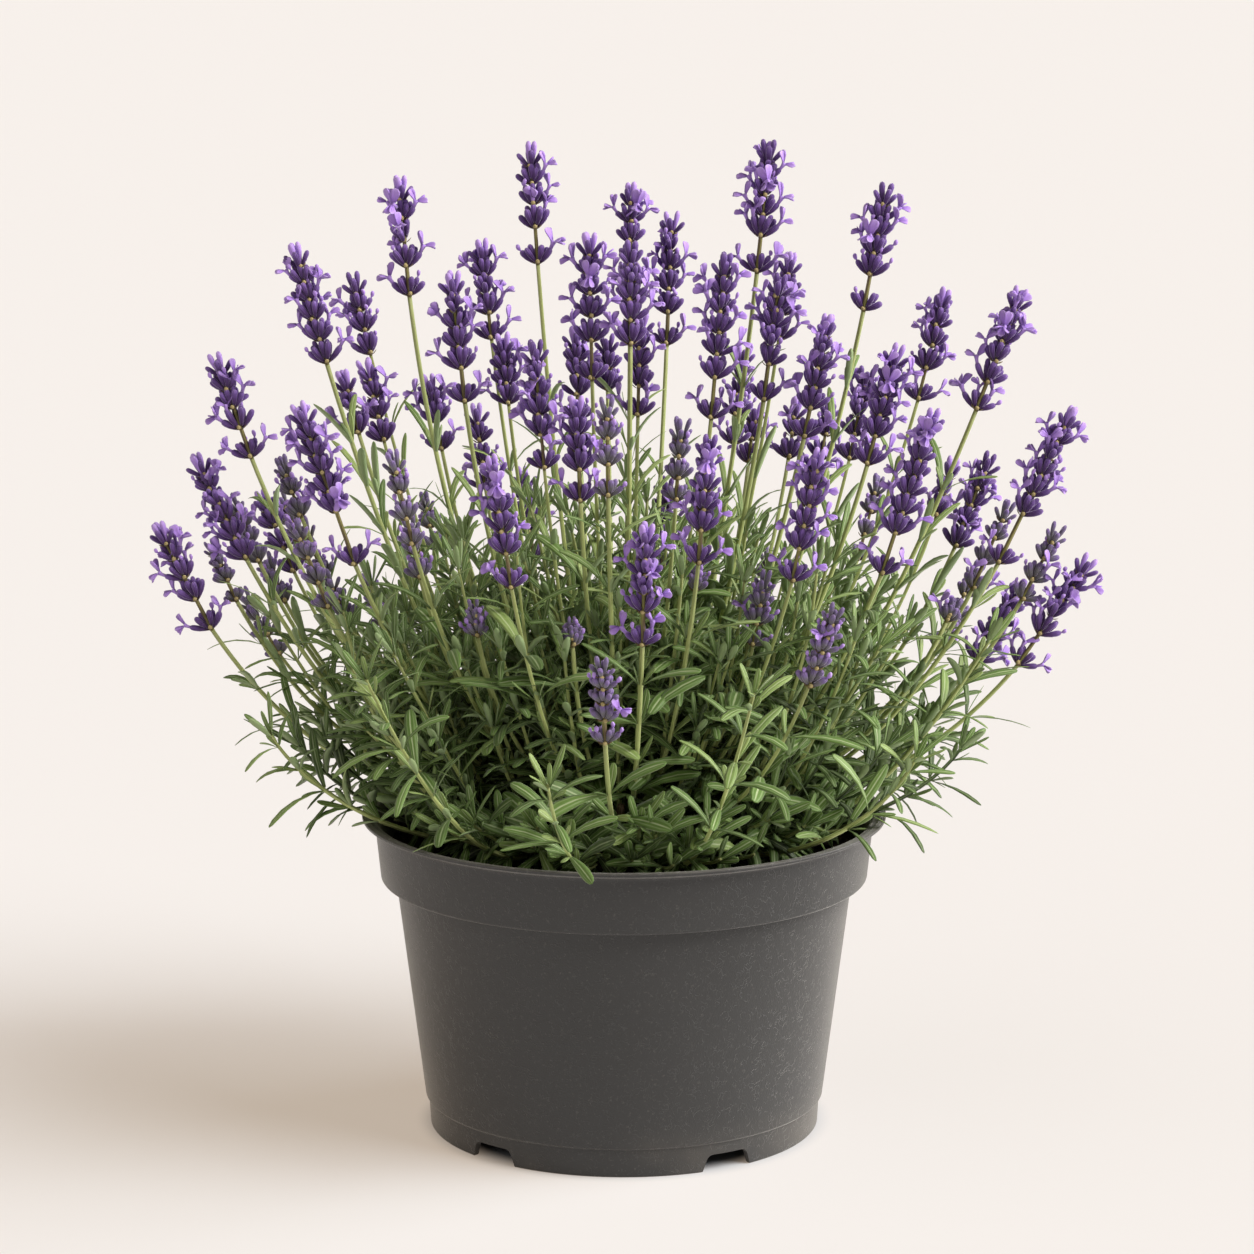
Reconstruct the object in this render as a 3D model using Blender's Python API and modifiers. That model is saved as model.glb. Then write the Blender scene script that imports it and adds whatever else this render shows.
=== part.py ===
"""Potted lavender: a full clump of flowering lavender in a round nursery pot.

The pot stands on its foot ring at the origin, +Z up, and the clump's front faces -Y. Every
stalk and shoot follows one rule: it starts on or beside the woody crown, runs outward, and
curves up to its tip, so that neighbours fan out and never cross.
"""

import math

import bmesh
import bpy
from mathutils import Matrix, Vector

MM = 0.001
GAP = 0.3 * MM  # left between pieces that touch

# Pot
POT_HEIGHT = 140.0 * MM
LIP_RADIUS = 115.0 * MM
LIP_THICKNESS = 1.4 * MM
COLLAR_TOP_RADIUS = 109.4 * MM
COLLAR_BASE_RADIUS = 106.9 * MM
COLLAR_BASE_Z = 111.8 * MM
BODY_TOP_RADIUS = 100.4 * MM
BODY_BASE_RADIUS = 88.1 * MM
STEP_Z = 12.8 * MM
STEP_DEPTH = 1.4 * MM
FOOT_RADIUS = 86.0 * MM
FOOT_WIDTH = 3.0 * MM
WALL = 2.0 * MM
FLOOR_Z = 8.6 * MM
FLOOR_THICKNESS = 2.4 * MM
POT_STEPS = 48

# Drainage, in the foot ring and the floor
NOTCH_COUNT = 5
NOTCH_FIRST_BEARING = 31.0  # degrees from the front, turning towards +X
NOTCH_BASE_WIDTH = 24.0 * MM
NOTCH_TOP_WIDTH = 19.0 * MM
NOTCH_HEIGHT = 7.4 * MM
NOTCH_ROUNDING = 2.5 * MM
DRAIN_RADIUS = 6.0 * MM
DRAIN_CIRCLE = 60.0 * MM

# Soil and the woody crown that stands on it
SOIL_TOP = 126.5 * MM
SOIL_EDGE = 123.5 * MM
CROWN_RADIUS = 46.0 * MM
CROWN_HEIGHT = 19.0 * MM
CROWN_STEPS = 16

# Flower stalks: tip across, depth and height in mm, the tip's lean from upright in degrees,
# then the length of the close whorls and how far below them one more whorl sits, in mm.
STALKS = (
    (-205, 10, 267, 22, 39, 15), (-189, 20, 296, 25, 52, 0), (-178, 10, 342, 17, 36, 14),
    (-142, 0, 390, 14, 54, 0), (-124, 100, 368, 16, 39, 0), (-97, 10, 418, 3, 40, 13),
    (-137, -50, 328, 16, 51, 25), (-74, -10, 379, 4, 43, 15), (-41, 20, 432, 4, 38, 16),
    (-97, -70, 311, 12, 32, 12), (-54, -100, 313, 12, 45, 16), (-15, -10, 396, 1, 48, 17),
    (22, 120, 394, 12, 48, 15), (35, -90, 320, 8, 43, 15), (9, -120, 288, 15, 42, 16),
    (63, 10, 434, 5, 43, 16), (81, -80, 313, 11, 46, 15), (114, 20, 415, 9, 42, 16),
    (146, 90, 362, 15, 39, 15), (173, 10, 370, 20, 45, 13), (196, 10, 318, 23, 53, 24),
    (208, 30, 249, 30, 43, 17),
)
STALK_RADIUS = 1.25 * MM
STALK_POINTS = 9
WHORL_PITCH = 8.6 * MM
BLOOM_TIP = 9.0 * MM  # the upright buds above the last whorl
WHORL_RADIUS = 8.6 * MM
LOW_WHORL_LENGTH = 9.0 * MM
BLOOM_STEPS = 8
BASE_SPREAD = 0.2  # how far out a stalk starts, as a share of how far out its tip is
LAST_GUIDE_UP = 0.42  # share of the rise at which a stem takes up the lean of its tip

# Leafy shoots round the clump's edge
SHOOT_COUNT = 12
SHOOT_TURN = 4.0  # degrees, which keeps the shoots between the lowest stalks
SHOOT_REACH_ACROSS = 160.0 * MM
SHOOT_REACH_DEPTH = 154.0 * MM
SHOOT_LOW_TIP = 186.0 * MM
SHOOT_HIGH_TIP = 222.0 * MM
SHOOT_START_RADIUS = 62.0 * MM
SHOOT_LEAN = 30.0  # degrees from upright at the tip
SHOOT_RADIUS = 1.3 * MM
SHOOT_POINTS = 7
LEAF_PAIR_PLACES = (0.45, 0.68, 0.88)
LEAF_LENGTH = 30.0 * MM
LEAF_WIDTH = 5.2 * MM
LEAF_THICKNESS = 1.0 * MM
LEAF_SEGMENTS = 4
LEAF_SPREAD = 48.0  # degrees between a leaf and its stem


def clear_scene():
    for obj in list(bpy.data.objects):
        bpy.data.objects.remove(obj)


def new_collection(name):
    collection = bpy.data.collections.new(name)
    bpy.context.scene.collection.children.link(collection)
    return collection


def material(name, colour, roughness):
    made = bpy.data.materials.new(name)
    made.use_nodes = True
    shader = made.node_tree.nodes["Principled BSDF"]
    shader.inputs["Base Color"].default_value = (*colour, 1.0)
    shader.inputs["Roughness"].default_value = roughness
    return made


def add_object(name, data, collection, finish=None):
    obj = bpy.data.objects.new(name, data)
    collection.objects.link(obj)
    if finish:
        data.materials.append(finish)
    return obj


def turned(name, outline, steps, collection, finish):
    """A solid of revolution. The outline is (radius, height) points, down its outer side."""
    mesh = bpy.data.meshes.new(name)
    points = [(radius, 0.0, height) for radius, height in outline]
    edges = [(i, i + 1) for i in range(len(points) - 1)]
    mesh.from_pydata(points, edges, [])
    obj = add_object(name, mesh, collection, finish)
    screw = obj.modifiers.new("turn", "SCREW")
    screw.axis = "Z"
    screw.steps = screw.render_steps = steps
    screw.use_merge_vertices = True
    screw.merge_threshold = 0.00001
    return obj


def tube_mesh(name, points, radius):
    """A stem of square section along the points, as a closed mesh."""
    curve = bpy.data.curves.new(name, "CURVE")
    curve.dimensions = "3D"
    curve.bevel_depth = radius
    curve.bevel_resolution = 0
    curve.use_fill_caps = True
    spline = curve.splines.new("POLY")
    spline.points.add(len(points) - 1)
    for place, point in zip(spline.points, points):
        place.co = (*point, 1.0)
    guide = bpy.data.objects.new(name + "_guide", curve)
    bpy.context.scene.collection.objects.link(guide)
    bpy.context.view_layer.update()
    evaluated = guide.evaluated_get(bpy.context.evaluated_depsgraph_get())
    mesh = bpy.data.meshes.new_from_object(evaluated)
    bpy.data.objects.remove(guide)
    shape = bmesh.new()
    shape.from_mesh(mesh)
    bmesh.ops.remove_doubles(shape, verts=shape.verts, dist=0.00001)
    shape.to_mesh(mesh)
    shape.free()
    return mesh


# Pot


def body_radius(height):
    """The outer wall's radius between the step near the foot and the collar."""
    share = (height - STEP_Z) / (COLLAR_BASE_Z - STEP_Z)
    return BODY_BASE_RADIUS + share * (BODY_TOP_RADIUS - BODY_BASE_RADIUS)


def pot_outline():
    """From the floor's middle up the inside, over the lip and down the outside."""
    floor_top = FLOOR_Z + FLOOR_THICKNESS
    lip_low = POT_HEIGHT - LIP_THICKNESS
    inner_foot = FOOT_RADIUS - FOOT_WIDTH
    inside = [
        (0.0, floor_top),
        (inner_foot + 0.4 * MM, floor_top),
        (body_radius(STEP_Z) - STEP_DEPTH - WALL + 0.3 * MM, floor_top + 1.6 * MM),
        (body_radius(COLLAR_BASE_Z) - WALL, COLLAR_BASE_Z + 0.6 * MM),
        (COLLAR_BASE_RADIUS - WALL, COLLAR_BASE_Z + 1.9 * MM),
        (COLLAR_TOP_RADIUS - WALL, POT_HEIGHT - 3.2 * MM),
    ]
    lip = [
        (LIP_RADIUS - 2.8 * MM, POT_HEIGHT - 0.8 * MM),
        (LIP_RADIUS - 2.4 * MM, POT_HEIGHT),
        (LIP_RADIUS - 0.4 * MM, POT_HEIGHT),
        (LIP_RADIUS, POT_HEIGHT - 0.4 * MM),
        (LIP_RADIUS, lip_low),
    ]
    outside = [
        (COLLAR_TOP_RADIUS + 0.3 * MM, POT_HEIGHT - 3.1 * MM),
        (COLLAR_BASE_RADIUS, COLLAR_BASE_Z + 0.7 * MM),
        (COLLAR_BASE_RADIUS - 0.6 * MM, COLLAR_BASE_Z - 0.1 * MM),
        (BODY_TOP_RADIUS + 0.3 * MM, COLLAR_BASE_Z - 0.4 * MM),
        (BODY_TOP_RADIUS, COLLAR_BASE_Z - 1.2 * MM),
        (BODY_BASE_RADIUS, STEP_Z + 0.4 * MM),
        (BODY_BASE_RADIUS - STEP_DEPTH, STEP_Z - 0.4 * MM),
        (FOOT_RADIUS, 0.5 * MM),
        (FOOT_RADIUS - 0.5 * MM, 0.0),
        (inner_foot + 0.5 * MM, 0.0),
        (inner_foot, 0.5 * MM),
        (inner_foot, FLOOR_Z),
        (0.0, FLOOR_Z),
    ]
    return inside + lip + outside


def notch_cutter(name, bearing, collection):
    """A wedge through the foot ring, wider at the ground, its upper corners rounded."""
    depth = 16.0 * MM
    below = 2.0 * MM
    shape = bmesh.new()
    bmesh.ops.create_cube(shape, size=1.0)
    for vert in shape.verts:
        high = vert.co.z > 0
        width = NOTCH_TOP_WIDTH if high else NOTCH_BASE_WIDTH
        vert.co = Vector((
            vert.co.x * width,
            vert.co.y * depth - FOOT_RADIUS,
            NOTCH_HEIGHT if high else -below,
        ))
    upper_sides = [
        edge for edge in shape.edges
        if all(vert.co.z > 0 for vert in edge.verts)
        and abs(edge.verts[0].co.x - edge.verts[1].co.x) < 0.1 * MM
    ]
    bmesh.ops.bevel(shape, geom=upper_sides, offset=NOTCH_ROUNDING, segments=3,
                    profile=0.5, affect="EDGES")
    bmesh.ops.rotate(shape, verts=shape.verts, cent=(0, 0, 0),
                     matrix=Matrix.Rotation(math.radians(bearing), 3, "Z"))
    mesh = bpy.data.meshes.new(name)
    shape.to_mesh(mesh)
    shape.free()
    return add_object(name, mesh, collection)


def drain_cutter(name, bearing, collection):
    """A round hole through the floor, in line with a notch."""
    shape = bmesh.new()
    bmesh.ops.create_cone(shape, cap_ends=True, segments=14, radius1=DRAIN_RADIUS,
                          radius2=DRAIN_RADIUS, depth=20.0 * MM)
    turn = math.radians(bearing)
    place = Vector((math.sin(turn), -math.cos(turn), 0)) * DRAIN_CIRCLE
    bmesh.ops.translate(shape, verts=shape.verts, vec=place + Vector((0, 0, FLOOR_Z)))
    mesh = bpy.data.meshes.new(name)
    shape.to_mesh(mesh)
    shape.free()
    return add_object(name, mesh, collection)


def make_pot(parts, cutters, finish):
    pot = turned("pot", pot_outline(), POT_STEPS, parts, finish)
    for index in range(NOTCH_COUNT):
        bearing = NOTCH_FIRST_BEARING + index * 360.0 / NOTCH_COUNT
        notch_cutter(f"notch_cutter_{index + 1}", bearing, cutters)
        drain_cutter(f"drain_cutter_{index + 1}", bearing, cutters)
    for cutter in cutters.objects:
        cutter.hide_render = True
        cutter.display_type = "WIRE"
    cut = pot.modifiers.new("drainage", "BOOLEAN")
    cut.operation = "DIFFERENCE"
    cut.operand_type = "COLLECTION"
    cut.collection = cutters
    cut.solver = "EXACT"


def make_soil(parts, finish):
    """The potting mix fills the pot to just under the lip, a little higher in the middle."""
    floor_top = FLOOR_Z + FLOOR_THICKNESS
    clear = 0.4 * MM
    collar_share = (SOIL_EDGE - COLLAR_BASE_Z) / (POT_HEIGHT - COLLAR_BASE_Z)
    collar_inside = COLLAR_BASE_RADIUS - WALL
    edge = collar_inside + collar_share * (COLLAR_TOP_RADIUS - COLLAR_BASE_RADIUS) - clear
    outline = [
        (0.0, SOIL_TOP),
        (CROWN_RADIUS + 6.0 * MM, SOIL_TOP),
        (edge, SOIL_EDGE),
        (collar_inside - clear, COLLAR_BASE_Z + 2.4 * MM),
        (BODY_TOP_RADIUS - WALL - clear, COLLAR_BASE_Z + 1.1 * MM),
        (BODY_BASE_RADIUS - STEP_DEPTH - WALL - 0.1 * MM, floor_top + 2.0 * MM),
        (FOOT_RADIUS - FOOT_WIDTH, floor_top + GAP),
        (0.0, floor_top + GAP),
    ]
    turned("potting_soil", outline, POT_STEPS, parts, finish)


def crown_top(radius):
    """The crown is a squat dome; this is its height above its foot at a radius."""
    share = min(radius / CROWN_RADIUS, 1.0)
    return CROWN_HEIGHT * math.sqrt(1.0 - 0.9 * share * share)


def make_crown(parts, finish):
    foot = SOIL_TOP + GAP
    rim = 6
    dome = [
        (CROWN_RADIUS * i / rim, foot + crown_top(CROWN_RADIUS * i / rim))
        for i in range(rim + 1)
    ]
    under = [(CROWN_RADIUS - 1.0 * MM, foot), (0.0, foot)]
    turned("woody_crown", dome + under, CROWN_STEPS, parts, finish)


# Stalks


def bezier(points, t):
    """A cubic curve through its first and last points, drawn towards the two between."""
    u = 1.0 - t
    a, b, c, d = points
    return a * u**3 + b * 3 * u * u * t + c * 3 * u * t * t + d * t**3


def grown_path(start_share, start_height, tip, lean, count=60):
    """Points from the crown to the tip. A stem that leans far runs outward before it rises."""
    rise = tip.z - start_height
    slope = math.hypot(tip.x, tip.y) / rise
    bend = max(-0.6, min(1.0, slope - 0.4))
    straightening = 1.0 - (1.0 - LAST_GUIDE_UP) * math.tan(math.radians(lean)) / slope
    guides = [
        Vector((start_share, 0.0)),
        Vector((0.42 + 0.18 * bend, 0.05 - 0.04 * bend)),
        Vector((straightening, LAST_GUIDE_UP)),
        Vector((1.0, 1.0)),
    ]
    points = []
    for i in range(count + 1):
        out, up = bezier(guides, i / count)
        points.append(Vector((tip.x * out, tip.y * out, start_height + rise * up)))
    return points


def path_length(points):
    return sum((b - a).length for a, b in zip(points, points[1:]))


def point_along(points, distance):
    for a, b in zip(points, points[1:]):
        step = (b - a).length
        if distance <= step:
            return a.lerp(b, distance / step)
        distance -= step
    return points[-1]


def bloom_outline(bloom, low):
    """A lowest whorl, a bare stretch of stem, then close whorls that narrow to the tip."""
    outline = [(0.0, 0.0), (STALK_RADIUS, 0.0)]
    height = 1.0 * MM
    if low > 0:
        outline += [
            (0.8 * WHORL_RADIUS, 0.6 * LOW_WHORL_LENGTH),
            (STALK_RADIUS, LOW_WHORL_LENGTH),
            (STALK_RADIUS, low),
        ]
        height = low
    whorls = round((bloom - BLOOM_TIP) / WHORL_PITCH)
    pitch = (bloom - BLOOM_TIP) / whorls
    for whorl in range(whorls):
        width = WHORL_RADIUS * (1.0 - 0.07 * whorl)
        outline.append((0.32 * width, height + (0.06 if whorl else 0.02) * pitch))
        outline.append((width, height + 0.66 * pitch))
        height += pitch
    outline += [
        (0.38 * WHORL_RADIUS, height),
        (0.2 * WHORL_RADIUS, height + 0.88 * BLOOM_TIP),
        (0.0, height + BLOOM_TIP),
    ]
    return list(reversed(outline))


def make_stalk(index, plan, parts, stem_finish, bloom_finish):
    across, depth, height, lean, bloom, low = plan
    tip = Vector((across, depth, height)) * MM
    start_radius = BASE_SPREAD * math.hypot(tip.x, tip.y)
    start_height = SOIL_TOP + crown_top(start_radius) + STALK_RADIUS + 3 * GAP
    path = grown_path(BASE_SPREAD, start_height, tip, lean)
    outline = bloom_outline(bloom * MM, low * MM)
    stem_length = path_length(path) - outline[0][1]
    foot = point_along(path, stem_length)
    cut = stem_length - GAP
    points = [
        point_along(path, cut * i / (STALK_POINTS - 1)) for i in range(STALK_POINTS)
    ]
    stem = tube_mesh(f"flower_stem_{index:02d}", points, STALK_RADIUS)
    add_object(f"flower_stem_{index:02d}", stem, parts, stem_finish)
    spike = turned(f"flower_spike_{index:02d}", outline, BLOOM_STEPS, parts, bloom_finish)
    along = (tip - foot).normalized()
    spike.location = foot + along * GAP
    spike.rotation_euler = along.to_track_quat("Z", "Y").to_euler()


# Leafy shoots


def leaf_mesh(name, length):
    """A narrow blunt blade along +Y that widens, arches over and thins to its end."""
    shape = bmesh.new()
    bmesh.ops.create_cube(shape, size=1.0)
    long_edges = [
        edge for edge in shape.edges
        if abs(edge.verts[0].co.y - edge.verts[1].co.y) > 0.5
    ]
    bmesh.ops.subdivide_edges(shape, edges=long_edges, cuts=LEAF_SEGMENTS - 1)
    for vert in shape.verts:
        along = vert.co.y + 0.5
        width = LEAF_WIDTH * (0.3 + 0.7 * math.sin(math.pi * min(1.0, 0.1 + 0.82 * along)))
        arch = 0.28 * length * along * (1.0 - along)
        vert.co = Vector((
            vert.co.x * width,
            along * length,
            vert.co.z * LEAF_THICKNESS + arch,
        ))
    mesh = bpy.data.meshes.new(name)
    shape.to_mesh(mesh)
    shape.free()
    return mesh


def make_shoot(index, leaf, parts, finish):
    turn = 2 * math.pi * (index - 0.5) / SHOOT_COUNT + math.radians(SHOOT_TURN)
    facing = Vector((math.sin(turn), -math.cos(turn), 0))
    tip = Vector((
        facing.x * SHOOT_REACH_ACROSS,
        facing.y * SHOOT_REACH_DEPTH,
        SHOOT_HIGH_TIP if index % 2 else SHOOT_LOW_TIP,
    ))
    reach = math.hypot(tip.x, tip.y)
    start_share = SHOOT_START_RADIUS / reach
    path = grown_path(start_share, SOIL_TOP + 4.0 * MM, tip, SHOOT_LEAN)
    total = path_length(path)
    points = [point_along(path, total * i / (SHOOT_POINTS - 1)) for i in range(SHOOT_POINTS)]
    name = f"leafy_shoot_{index:02d}"
    shoot = add_object(name, tube_mesh(name, points, SHOOT_RADIUS), parts, finish)
    helpers = new_collection(name + "_leaves")
    helpers.hide_render = True
    for pair, place in enumerate(LEAF_PAIR_PLACES):
        here = point_along(path, total * place)
        ahead = (point_along(path, total * place + 1.0 * MM) - here).normalized()
        level = ahead.cross(Vector((0, 0, 1))).normalized()
        side = level if pair % 2 else ahead.cross(level).normalized()
        for direction in (side, -side):
            spread = math.radians(LEAF_SPREAD)
            blade_axis = (ahead * math.cos(spread) + direction * math.sin(spread)).normalized()
            face = (ahead - blade_axis * ahead.dot(blade_axis)).normalized()
            across = blade_axis.cross(face)
            blade = add_object(f"{name}_leaf", leaf, helpers)
            blade.matrix_world = Matrix((
                (across.x, blade_axis.x, face.x, here.x),
                (across.y, blade_axis.y, face.y, here.y),
                (across.z, blade_axis.z, face.z, here.z),
                (0, 0, 0, 1),
            ))
            blade.hide_render = True
            blade.display_type = "WIRE"
    join = shoot.modifiers.new("leaves", "BOOLEAN")
    join.operation = "UNION"
    join.operand_type = "COLLECTION"
    join.collection = helpers
    join.solver = "EXACT"


def main():
    clear_scene()
    parts = new_collection("potted_lavender")
    cutters = new_collection("cutters")
    plastic = material("moulded_polypropylene", (0.045, 0.042, 0.040), 0.55)
    soil = material("potting_mix", (0.030, 0.020, 0.014), 0.95)
    wood = material("woody_crown", (0.120, 0.085, 0.055), 0.85)
    green_stem = material("green_stem", (0.330, 0.370, 0.160), 0.60)
    calyx = material("violet_flowers", (0.075, 0.035, 0.160), 0.75)
    foliage = material("grey_green_leaves", (0.110, 0.160, 0.080), 0.75)

    make_pot(parts, cutters, plastic)
    make_soil(parts, soil)
    make_crown(parts, wood)
    for index, plan in enumerate(STALKS, start=1):
        make_stalk(index, plan, parts, green_stem, calyx)
    leaf = leaf_mesh("leaf", LEAF_LENGTH)
    for index in range(1, SHOOT_COUNT + 1):
        make_shoot(index, leaf, parts, foliage)


main()
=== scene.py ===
"""Potted lavender: the fine surfaces and finishes of a flowering clump in its nursery pot.

The file is laid out as a Blender add-on and run as a script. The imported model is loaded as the
frame. Every stem, bloom and shoot repeats the growth rule of the solid that it stands for.
"""
import math
from functools import partial

import bpy
import numpy as np
from bpy.props import FloatProperty, FloatVectorProperty, PointerProperty
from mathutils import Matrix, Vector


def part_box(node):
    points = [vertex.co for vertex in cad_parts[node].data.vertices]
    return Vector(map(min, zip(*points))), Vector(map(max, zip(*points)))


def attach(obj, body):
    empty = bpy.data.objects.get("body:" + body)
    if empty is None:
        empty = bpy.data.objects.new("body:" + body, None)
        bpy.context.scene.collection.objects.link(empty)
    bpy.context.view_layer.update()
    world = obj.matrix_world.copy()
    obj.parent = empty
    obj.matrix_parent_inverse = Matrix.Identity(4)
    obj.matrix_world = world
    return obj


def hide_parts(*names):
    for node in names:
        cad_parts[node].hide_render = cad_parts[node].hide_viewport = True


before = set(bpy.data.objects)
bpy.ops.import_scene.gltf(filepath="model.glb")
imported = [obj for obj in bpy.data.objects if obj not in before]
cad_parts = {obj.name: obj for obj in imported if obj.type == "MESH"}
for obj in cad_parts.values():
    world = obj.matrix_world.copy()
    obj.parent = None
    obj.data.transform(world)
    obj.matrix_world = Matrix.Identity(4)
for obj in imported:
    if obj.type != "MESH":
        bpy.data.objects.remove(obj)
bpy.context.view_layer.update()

bl_info = {
    "name": "Potted lavender",
    "version": (1, 0, 0),
    "blender": (4, 5, 0),
    "location": "View3D > Sidebar > Lavender",
    "description": "Builds a flowering lavender clump in a round nursery pot",
    "category": "Add Mesh",
}

MM = 0.001
GAP = 0.3 * MM
UP = np.array([0.0, 0.0, 1.0])

# Where the solids stand
POT_HIGH = np.array(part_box("pot")[1])
POT_HEIGHT = float(POT_HIGH[2])
LIP_RADIUS = float(POT_HIGH[0])
SOIL_TOP = float(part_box("potting_soil")[1][2])
CROWN_RADIUS = float(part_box("woody_crown")[1][0])
CROWN_HEIGHT = float(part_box("woody_crown")[1][2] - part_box("woody_crown")[0][2])

# Pot
LIP_THICKNESS = 1.4 * MM
COLLAR_TOP_RADIUS = 109.4 * MM
COLLAR_BASE_RADIUS = 106.9 * MM
COLLAR_BASE_Z = 111.8 * MM
BODY_TOP_RADIUS = 100.4 * MM
BODY_BASE_RADIUS = 88.1 * MM
STEP_Z = 12.8 * MM
STEP_DEPTH = 1.4 * MM
FOOT_RADIUS = 86.0 * MM
FOOT_WIDTH = 3.0 * MM
WALL = 2.0 * MM
FLOOR_Z = 8.6 * MM
FLOOR_THICKNESS = 2.4 * MM
NOTCH_COUNT = 5
NOTCH_FIRST_BEARING = 31.0  # degrees from the front, turning towards +X
NOTCH_BASE_WIDTH = 24.0 * MM
NOTCH_TOP_WIDTH = 19.0 * MM
NOTCH_HEIGHT = 7.4 * MM
NOTCH_ROUNDING = 2.5 * MM
DRAIN_RADIUS = 6.0 * MM
DRAIN_CIRCLE = 60.0 * MM

# Flower stalks: tip across, depth and height in mm, the tip's lean from upright in degrees,
# the length of the close whorls, how far below them one more whorl sits, in mm, and how many
# open flowers face the front, or -1 where the spike is young. These are the solids' own, in
# their order.
STALKS = (
    (-205, 10, 267, 22, 39, 15, 0), (-189, 20, 296, 25, 52, 0, 0), (-178, 10, 342, 17, 36, 14, 0),
    (-142, 0, 390, 14, 54, 0, 0), (-124, 100, 368, 16, 39, 0, 0), (-97, 10, 418, 3, 40, 13, 1),
    (-137, -50, 328, 16, 51, 25, 1), (-74, -10, 379, 4, 43, 15, 0), (-41, 20, 432, 4, 38, 16, 0),
    (-97, -70, 311, 12, 32, 12, -1), (-54, -100, 313, 12, 45, 16, 1), (-15, -10, 396, 1, 48, 17, 1),
    (22, 120, 394, 12, 48, 15, 0), (35, -90, 320, 8, 43, 15, 1), (9, -120, 288, 15, 42, 16, 0),
    (63, 10, 434, 5, 43, 16, 1), (81, -80, 313, 11, 46, 15, 0), (114, 20, 415, 9, 42, 16, 1),
    (146, 90, 362, 15, 39, 15, 0), (173, 10, 370, 20, 45, 13, 1), (196, 10, 318, 23, 53, 24, 0),
    (208, 30, 249, 30, 43, 17, 0),
)
# Stalks that stand among those, by the part of the clump that they fill.
MORE_STALKS = {
    "left": (
        (-125, 40, 331, 15, 30, 0, 0), (-117, 80, 331, 14, 39, 0, 0), (-65, 90, 384, 10, 35, 12, 0),
        (-55, 70, 344, 8, 33, 0, 0), (-38, -40, 353, 5, 42, 15, 0), (-87, 50, 328, 10, 23, 13, 0),
    ),
    "middle": (
        (-20, -60, 332, 5, 33, 14, 0), (-7, -80, 335, 6, 31, 14, -1), (3, 100, 409, 9, 49, 10, 1),
        (7, 10, 360, 2, 34, 13, 0), (24, -50, 322, 6, 28, 10, -1), (43, -20, 388, 4, 55, 18, 0),
        (-9, -150, 239, 26, 35, 13, -1), (3, -40, 395, 4, 45, 0, 0),
    ),
    "right": (
        (74, 50, 382, 9, 40, 0, 0), (67, -5, 378, 6, 41, 16, 0), (88, -10, 361, 10, 43, 13, 0),
        (117, -20, 349, 12, 42, 13, 1), (130, -60, 327, 14, 58, 19, 1), (165, 60, 291, 20, 46, 0, 0),
        (87, -120, 255, 24, 42, 0, -1),
    ),
    "young": (
        (-92, -40, 280, 8, 30, 0, -1), (-64, -60, 249, 6, 20, 0, -1), (-22, -70, 243, 3, 16, 0, -1),
        (31, -50, 263, 4, 16, 0, -1), (60, -60, 259, 8, 26, 10, -1), (146, 0, 238, 20, 14, 0, -1),
        (194, 30, 264, 25, 30, 10, -1), (172, 40, 273, 20, 32, 13, -1), (-186, 35, 258, 22, 24, 10, -1),
        (-176, 45, 275, 22, 34, 0, -1), (-155, 60, 290, 20, 30, 0, -1), (-142, -30, 276, 18, 32, 12, -1),
    ),
    "back_left": (
        (-70, 140, 303, 14, 30, 12, 0), (-23, 130, 340, 12, 33, 12, 0), (-8, 150, 335, 13, 28, 0, 0),
        (-166, 80, 271, 24, 30, 12, 0), (-160, 110, 267, 24, 28, 0, -1), (-164, 60, 246, 26, 26, 0, -1),
        (-177, 90, 224, 30, 27, 11, -1), (-146, 60, 262, 22, 30, 0, -1), (-133, 20, 245, 24, 26, 0, -1),
        (-95, 140, 262, 22, 30, 0, -1), (-48, 160, 270, 20, 34, 13, 0), (-122, 128, 225, 28, 28, 0, -1),
    ),
    "back_right": (
        (113, 120, 323, 15, 34, 12, 0), (81, 140, 306, 15, 30, 0, 0), (98, 155, 304, 17, 31, 12, 0),
        (153, 110, 282, 21, 30, 0, 0), (121, 150, 268, 21, 32, 12, -1), (160, 130, 210, 32, 27, 0, -1),
        (164, 90, 237, 28, 30, 0, -1), (183, 70, 231, 30, 33, 12, 0), (56, 140, 331, 14, 35, 14, 0),
        (62, 160, 301, 16, 30, 0, 0), (20, 160, 265, 20, 34, 13, 0), (70, 165, 232, 26, 28, 0, -1),
    ),
}
BASE_SPREAD = 0.2  # how far out a stalk starts, as a share of how far out its tip is
LAST_GUIDE_UP = 0.42  # share of the rise at which a stem takes up the lean of its tip
STALK_RADIUS = 1.25 * MM  # the solids' own, which sets where a stalk starts on the crown
WHORL_PITCH = 8.4 * MM
BLOOM_TIP = 11.6 * MM

# Leafy shoots round the clump's edge, as the solids have them
SHOOT_COUNT = 12
SHOOT_TURN = 4.0
SHOOT_REACH_ACROSS = 160.0 * MM
SHOOT_REACH_DEPTH = 154.0 * MM
SHOOT_LOW_TIP = 186.0 * MM
SHOOT_HIGH_TIP = 222.0 * MM
SHOOT_START_RADIUS = 62.0 * MM
SHOOT_LEAN = 30.0

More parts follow.
